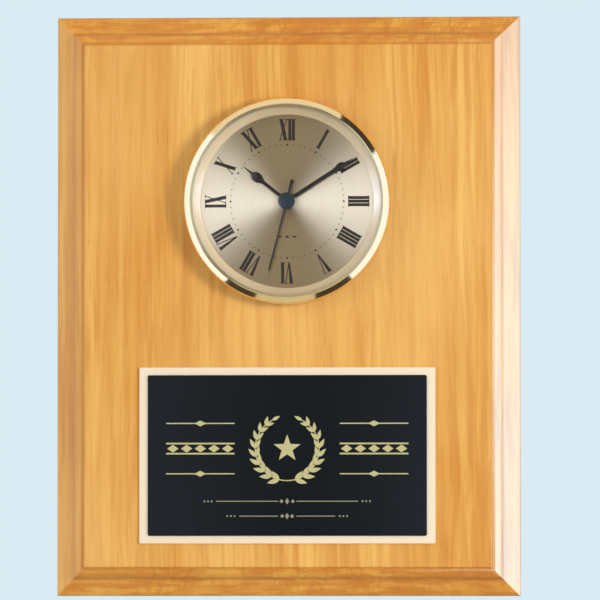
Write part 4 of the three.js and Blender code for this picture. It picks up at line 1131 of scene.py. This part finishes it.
def add_battery():
    low, high = span("battery")
    radius = (high.y - low.y) / 2
    place = (0, (low.y + high.y) / 2, (low.z + high.z) / 2)
    start, end = low.x, high.x
    shoulder = end - BATTERY_CAP

    def section(name, points, finish, replaced=()):
        shape = turned(rounded(points), place=place, steps=96, axis="X")
        piece(name, shape, finish, "battery", replaced)

    band = start + JACKET_SHARE * (shoulder - start)
    section("battery_jacket", [
        (0, start + 0.2), (radius - 1.2, start + 0.2), (radius - 1.0, start, 0.1), (radius, start, 0.5),
        (radius, band), (0, band)], "battery_jacket", ["battery"])
    section("battery_band", [
        (0, band), (radius, band), (radius, shoulder, 0.5), (radius - 1.1, shoulder, 0.1),
        (radius - 1.2, shoulder - 0.25), (0, shoulder - 0.25)], "battery_band")
    section("battery_cap", [
        (0, shoulder - 0.3), (radius - 1.3, shoulder - 0.3), (radius - 1.3, shoulder - 0.15),
        (2.9, shoulder - 0.05, 0.2), (2.7, end, 0.3), (0, end)], "steel")


GASKET_RIBS = 4


def add_gasket():
    low, high = span("gasket")
    outer = high.x - CLOCK_X
    inner = WALL_OUTER + 0.2
    valley = (inner + outer) / 2
    rib = (high.y - low.y) / GASKET_RIBS
    profile = [(inner, high.y), (inner, low.y)]
    for index in range(GASKET_RIBS):
        base = low.y + index * rib
        profile += [(valley, base), (outer, base + 0.35 * rib), (outer, base + 0.65 * rib)]
    profile.append((valley, high.y))
    piece("gasket_ribbed", turned(profile), "rubber", "insert", ["gasket"])


# Model solids that stay as they are, by the finish that they take

CARRIED = {
    "tape": ["plate_adhesive", "engraving_adhesive"],
    "white_plastic": [
        "movement_case_front", "middle_plate", "coil_bobbin", "motion_wheel", "hour_wheel",
        "setting_shaft", "seconds_wheel", "third_wheel", "centre_wheel", "intermediate_wheel",
        "rotor_pinion"],
    "steel": [
        "stator", "coil_core", "stator_screw_1", "stator_screw_2", "quartz_crystal",
        "contact_negative", "contact_positive", "cannon_pinion"],
    "copper": ["coil_winding"],
    "circuit_green": ["circuit_board"],
    "black_plastic": ["circuit_chip"],
    "magnet": ["rotor_magnet"],
}


def dress_carried():
    for finish, names in CARRIED.items():
        for name in names:
            for slot in frame["nodes"][name].material_slots:
                slot.material = FINISHES[finish]


# Camera, lights and surroundings, in metres

AZIMUTH = 3
ELEVATION = -2.2
DISTANCE = 3.0
TARGET = Vector((0.00454, 0, 0.00311))
FOCAL_LENGTH = 409.0
SENSOR = 36


def direction(azimuth, elevation):
    a, e = math.radians(azimuth), math.radians(elevation)
    return Vector((math.sin(a) * math.cos(e), -math.cos(a) * math.cos(e), math.sin(e)))


def aim(made, place, target):
    made.location = place
    made.rotation_euler = (target - place).to_track_quat("-Z", "Y").to_euler()


def add_camera():
    lens = bpy.data.cameras.new("camera")
    lens.sensor_width = SENSOR
    lens.sensor_fit = "HORIZONTAL"
    lens.lens = FOCAL_LENGTH
    lens.clip_start = 0.05
    lens.clip_end = 50
    made = new_object("camera", lens)
    aim(made, TARGET + DISTANCE * direction(AZIMUTH, ELEVATION), TARGET)
    bpy.context.scene.camera = made


def add_softbox(name, azimuth, elevation, distance, width, height, power, colour=(1, 1, 1)):
    lamp = bpy.data.lights.new(name, "AREA")
    lamp.shape = "RECTANGLE"
    lamp.size = width
    lamp.size_y = height
    lamp.energy = power
    lamp.color = colour
    made = new_object(name, lamp)
    aim(made, TARGET + distance * direction(azimuth, elevation), TARGET)
    return made


# Keeps a lamp's light to one object, or off that object.
def link_light(lamp, name, state="INCLUDE"):
    linked = bpy.data.collections.new(lamp.name + "_linked")
    linked.objects.link(bpy.data.objects[name])
    lamp.light_linking.receiver_collection = linked
    linked.collection_objects[0].light_linking.link_state = state


FLOOR_LEVEL = -0.75
FLOOR_SIZE = 8
FLOOR_GLOW = 0.18


# The camera sees the floor a little paler than it lights the object.
def pale_floor():
    finish = Finish(
        "pale_floor", Base_Color=(0.9, 0.91, 0.92, 1), Roughness=0.7, Emission_Color=(0.7, 0.95, 1, 1))
    seen = finish.add("ShaderNodeLightPath").outputs["Is Camera Ray"]
    finish.set(Emission_Strength=finish.times(seen, FLOOR_GLOW))
    return finish.material


def add_floor():
    shape = bmesh.new()
    bmesh.ops.create_grid(shape, x_segments=1, y_segments=1, size=FLOOR_SIZE / 2)
    mesh = bpy.data.meshes.new("floor")
    shape.to_mesh(mesh)
    shape.free()
    made = new_object("floor", mesh)
    made.location.z = FLOOR_LEVEL
    mesh.materials.append(pale_floor())
    made.visible_glossy = False


# What metal mirrors: wide bright panels at the left and right, and duller ones above and below.
# Far panels stand beside the object and have dark gaps between them, and near ones stand more in
# front of it. Degrees run clockwise from the top, as seen from the front.
BRIGHT = (1.08, 1.2, 1.52, 1)
UPPER = (0.87, 0.79, 0.66, 1)
LOWER = (0.68, 0.59, 0.44, 1)
DARK = (0.06, 0.05, 0.04, 1)
FAR_PANELS = [
    (0, UPPER), (27, DARK), (56, BRIGHT), (140, DARK), (165, LOWER), (202, DARK), (221, BRIGHT),
    (312, UPPER)]
NEAR_BRIGHT = (1.76, 1.9, 2.35, 1)
NEAR_DULL = (0.18, 0.135, 0.06, 1)
NEAR_PANELS = [
    (0, NEAR_DULL), (44, NEAR_DULL), (64, NEAR_BRIGHT), (124, NEAR_BRIGHT), (142, NEAR_DULL),
    (238, NEAR_DULL), (255, NEAR_BRIGHT), (288, NEAR_BRIGHT), (304, NEAR_DULL)]
FRONT_LEVEL = 0.2
BACK_LEVEL = 0.6
AMBIENT = 0.58
BACKDROP = (0.70, 0.83, 0.90, 1)


def add_world():
    world = bpy.data.worlds.new("studio")
    bpy.context.scene.world = world
    tree = Tree(world)
    tree.nodes.clear()
    way = tree.add("ShaderNodeSeparateXYZ", {0: tree.add("ShaderNodeTexCoord").outputs["Generated"]})
    turn = tree.math("ARCTAN2", way.outputs["X"], way.outputs["Z"])
    share = tree.math("FRACT", tree.math("ADD", tree.math("DIVIDE", turn, TURN), 1.0))
    far = tree.ramp(share, [(angle / 360, colour) for angle, colour in FAR_PANELS], "CONSTANT")
    near = tree.ramp(share, [(angle / 360, colour) for angle, colour in NEAR_PANELS])
    panels = tree.mix(tree.remap(way.outputs["Y"], -0.82, -0.78, smooth=True), near, far)
    ahead = tree.remap(way.outputs["Y"], -0.997, -0.98, 1, 0, smooth=True)
    behind = tree.remap(way.outputs["Y"], 0.6, 0.9, smooth=True)
    mirrored = tree.mix(behind, tree.mix(ahead, panels, grey(FRONT_LEVEL)), grey(BACK_LEVEL))
    path = tree.add("ShaderNodeLightPath").outputs
    shiny = tree.math("MAXIMUM", path["Is Glossy Ray"], path["Is Transmission Ray"])
    seen = tree.mix(shiny, grey(AMBIENT), mirrored)
    colour = tree.mix(path["Is Camera Ray"], seen, BACKDROP)
    back = tree.add("ShaderNodeBackground", {"Color": colour, "Strength": 1.0})
    tree.add("ShaderNodeOutputWorld", {"Surface": back.outputs[0]})
    world.cycles.sampling_method = "NONE"


def add_studio():
    add_world()
    add_floor()
    for name, azimuth, elevation, size, power in (("key", 50, 4, 0.6, 29), ("fill", -62, 7, 1.2, 13)):
        soft = add_softbox(name, azimuth, elevation, 2.1, size, size, power)
        soft.visible_glossy = False
        link_light(soft, "floor", "EXCLUDE")
    sheen = add_softbox("sheen", 62, -7, 1.8, 2.4, 0.7, 16, (0.1, 0.85, 1.25))
    sheen.visible_diffuse = False
    link_light(sheen, "board_wood")
    for name, azimuth in (("ring_left", -76), ("ring_right", 76)):
        link_light(add_softbox(name, azimuth, 0, 2.0, 0.6, 0.6, 60, (0.95, 1.1, 1.45)), "reflector_cream")
    bpy.context.scene.view_settings.view_transform = "Standard"


add_board()
add_plate("border_plate", "plate_backing", "gold_plate")
add_plate("black_plate", "engraving_plate", "black_plate")
add_engraving()
add_bezel()
add_lens()
add_reflector_ring()
add_dial()
add_print()
add_hands()
add_housing()
add_gasket()
add_cover()
add_screws()
add_knob()
add_battery()
dress_carried()
add_camera()
add_studio()
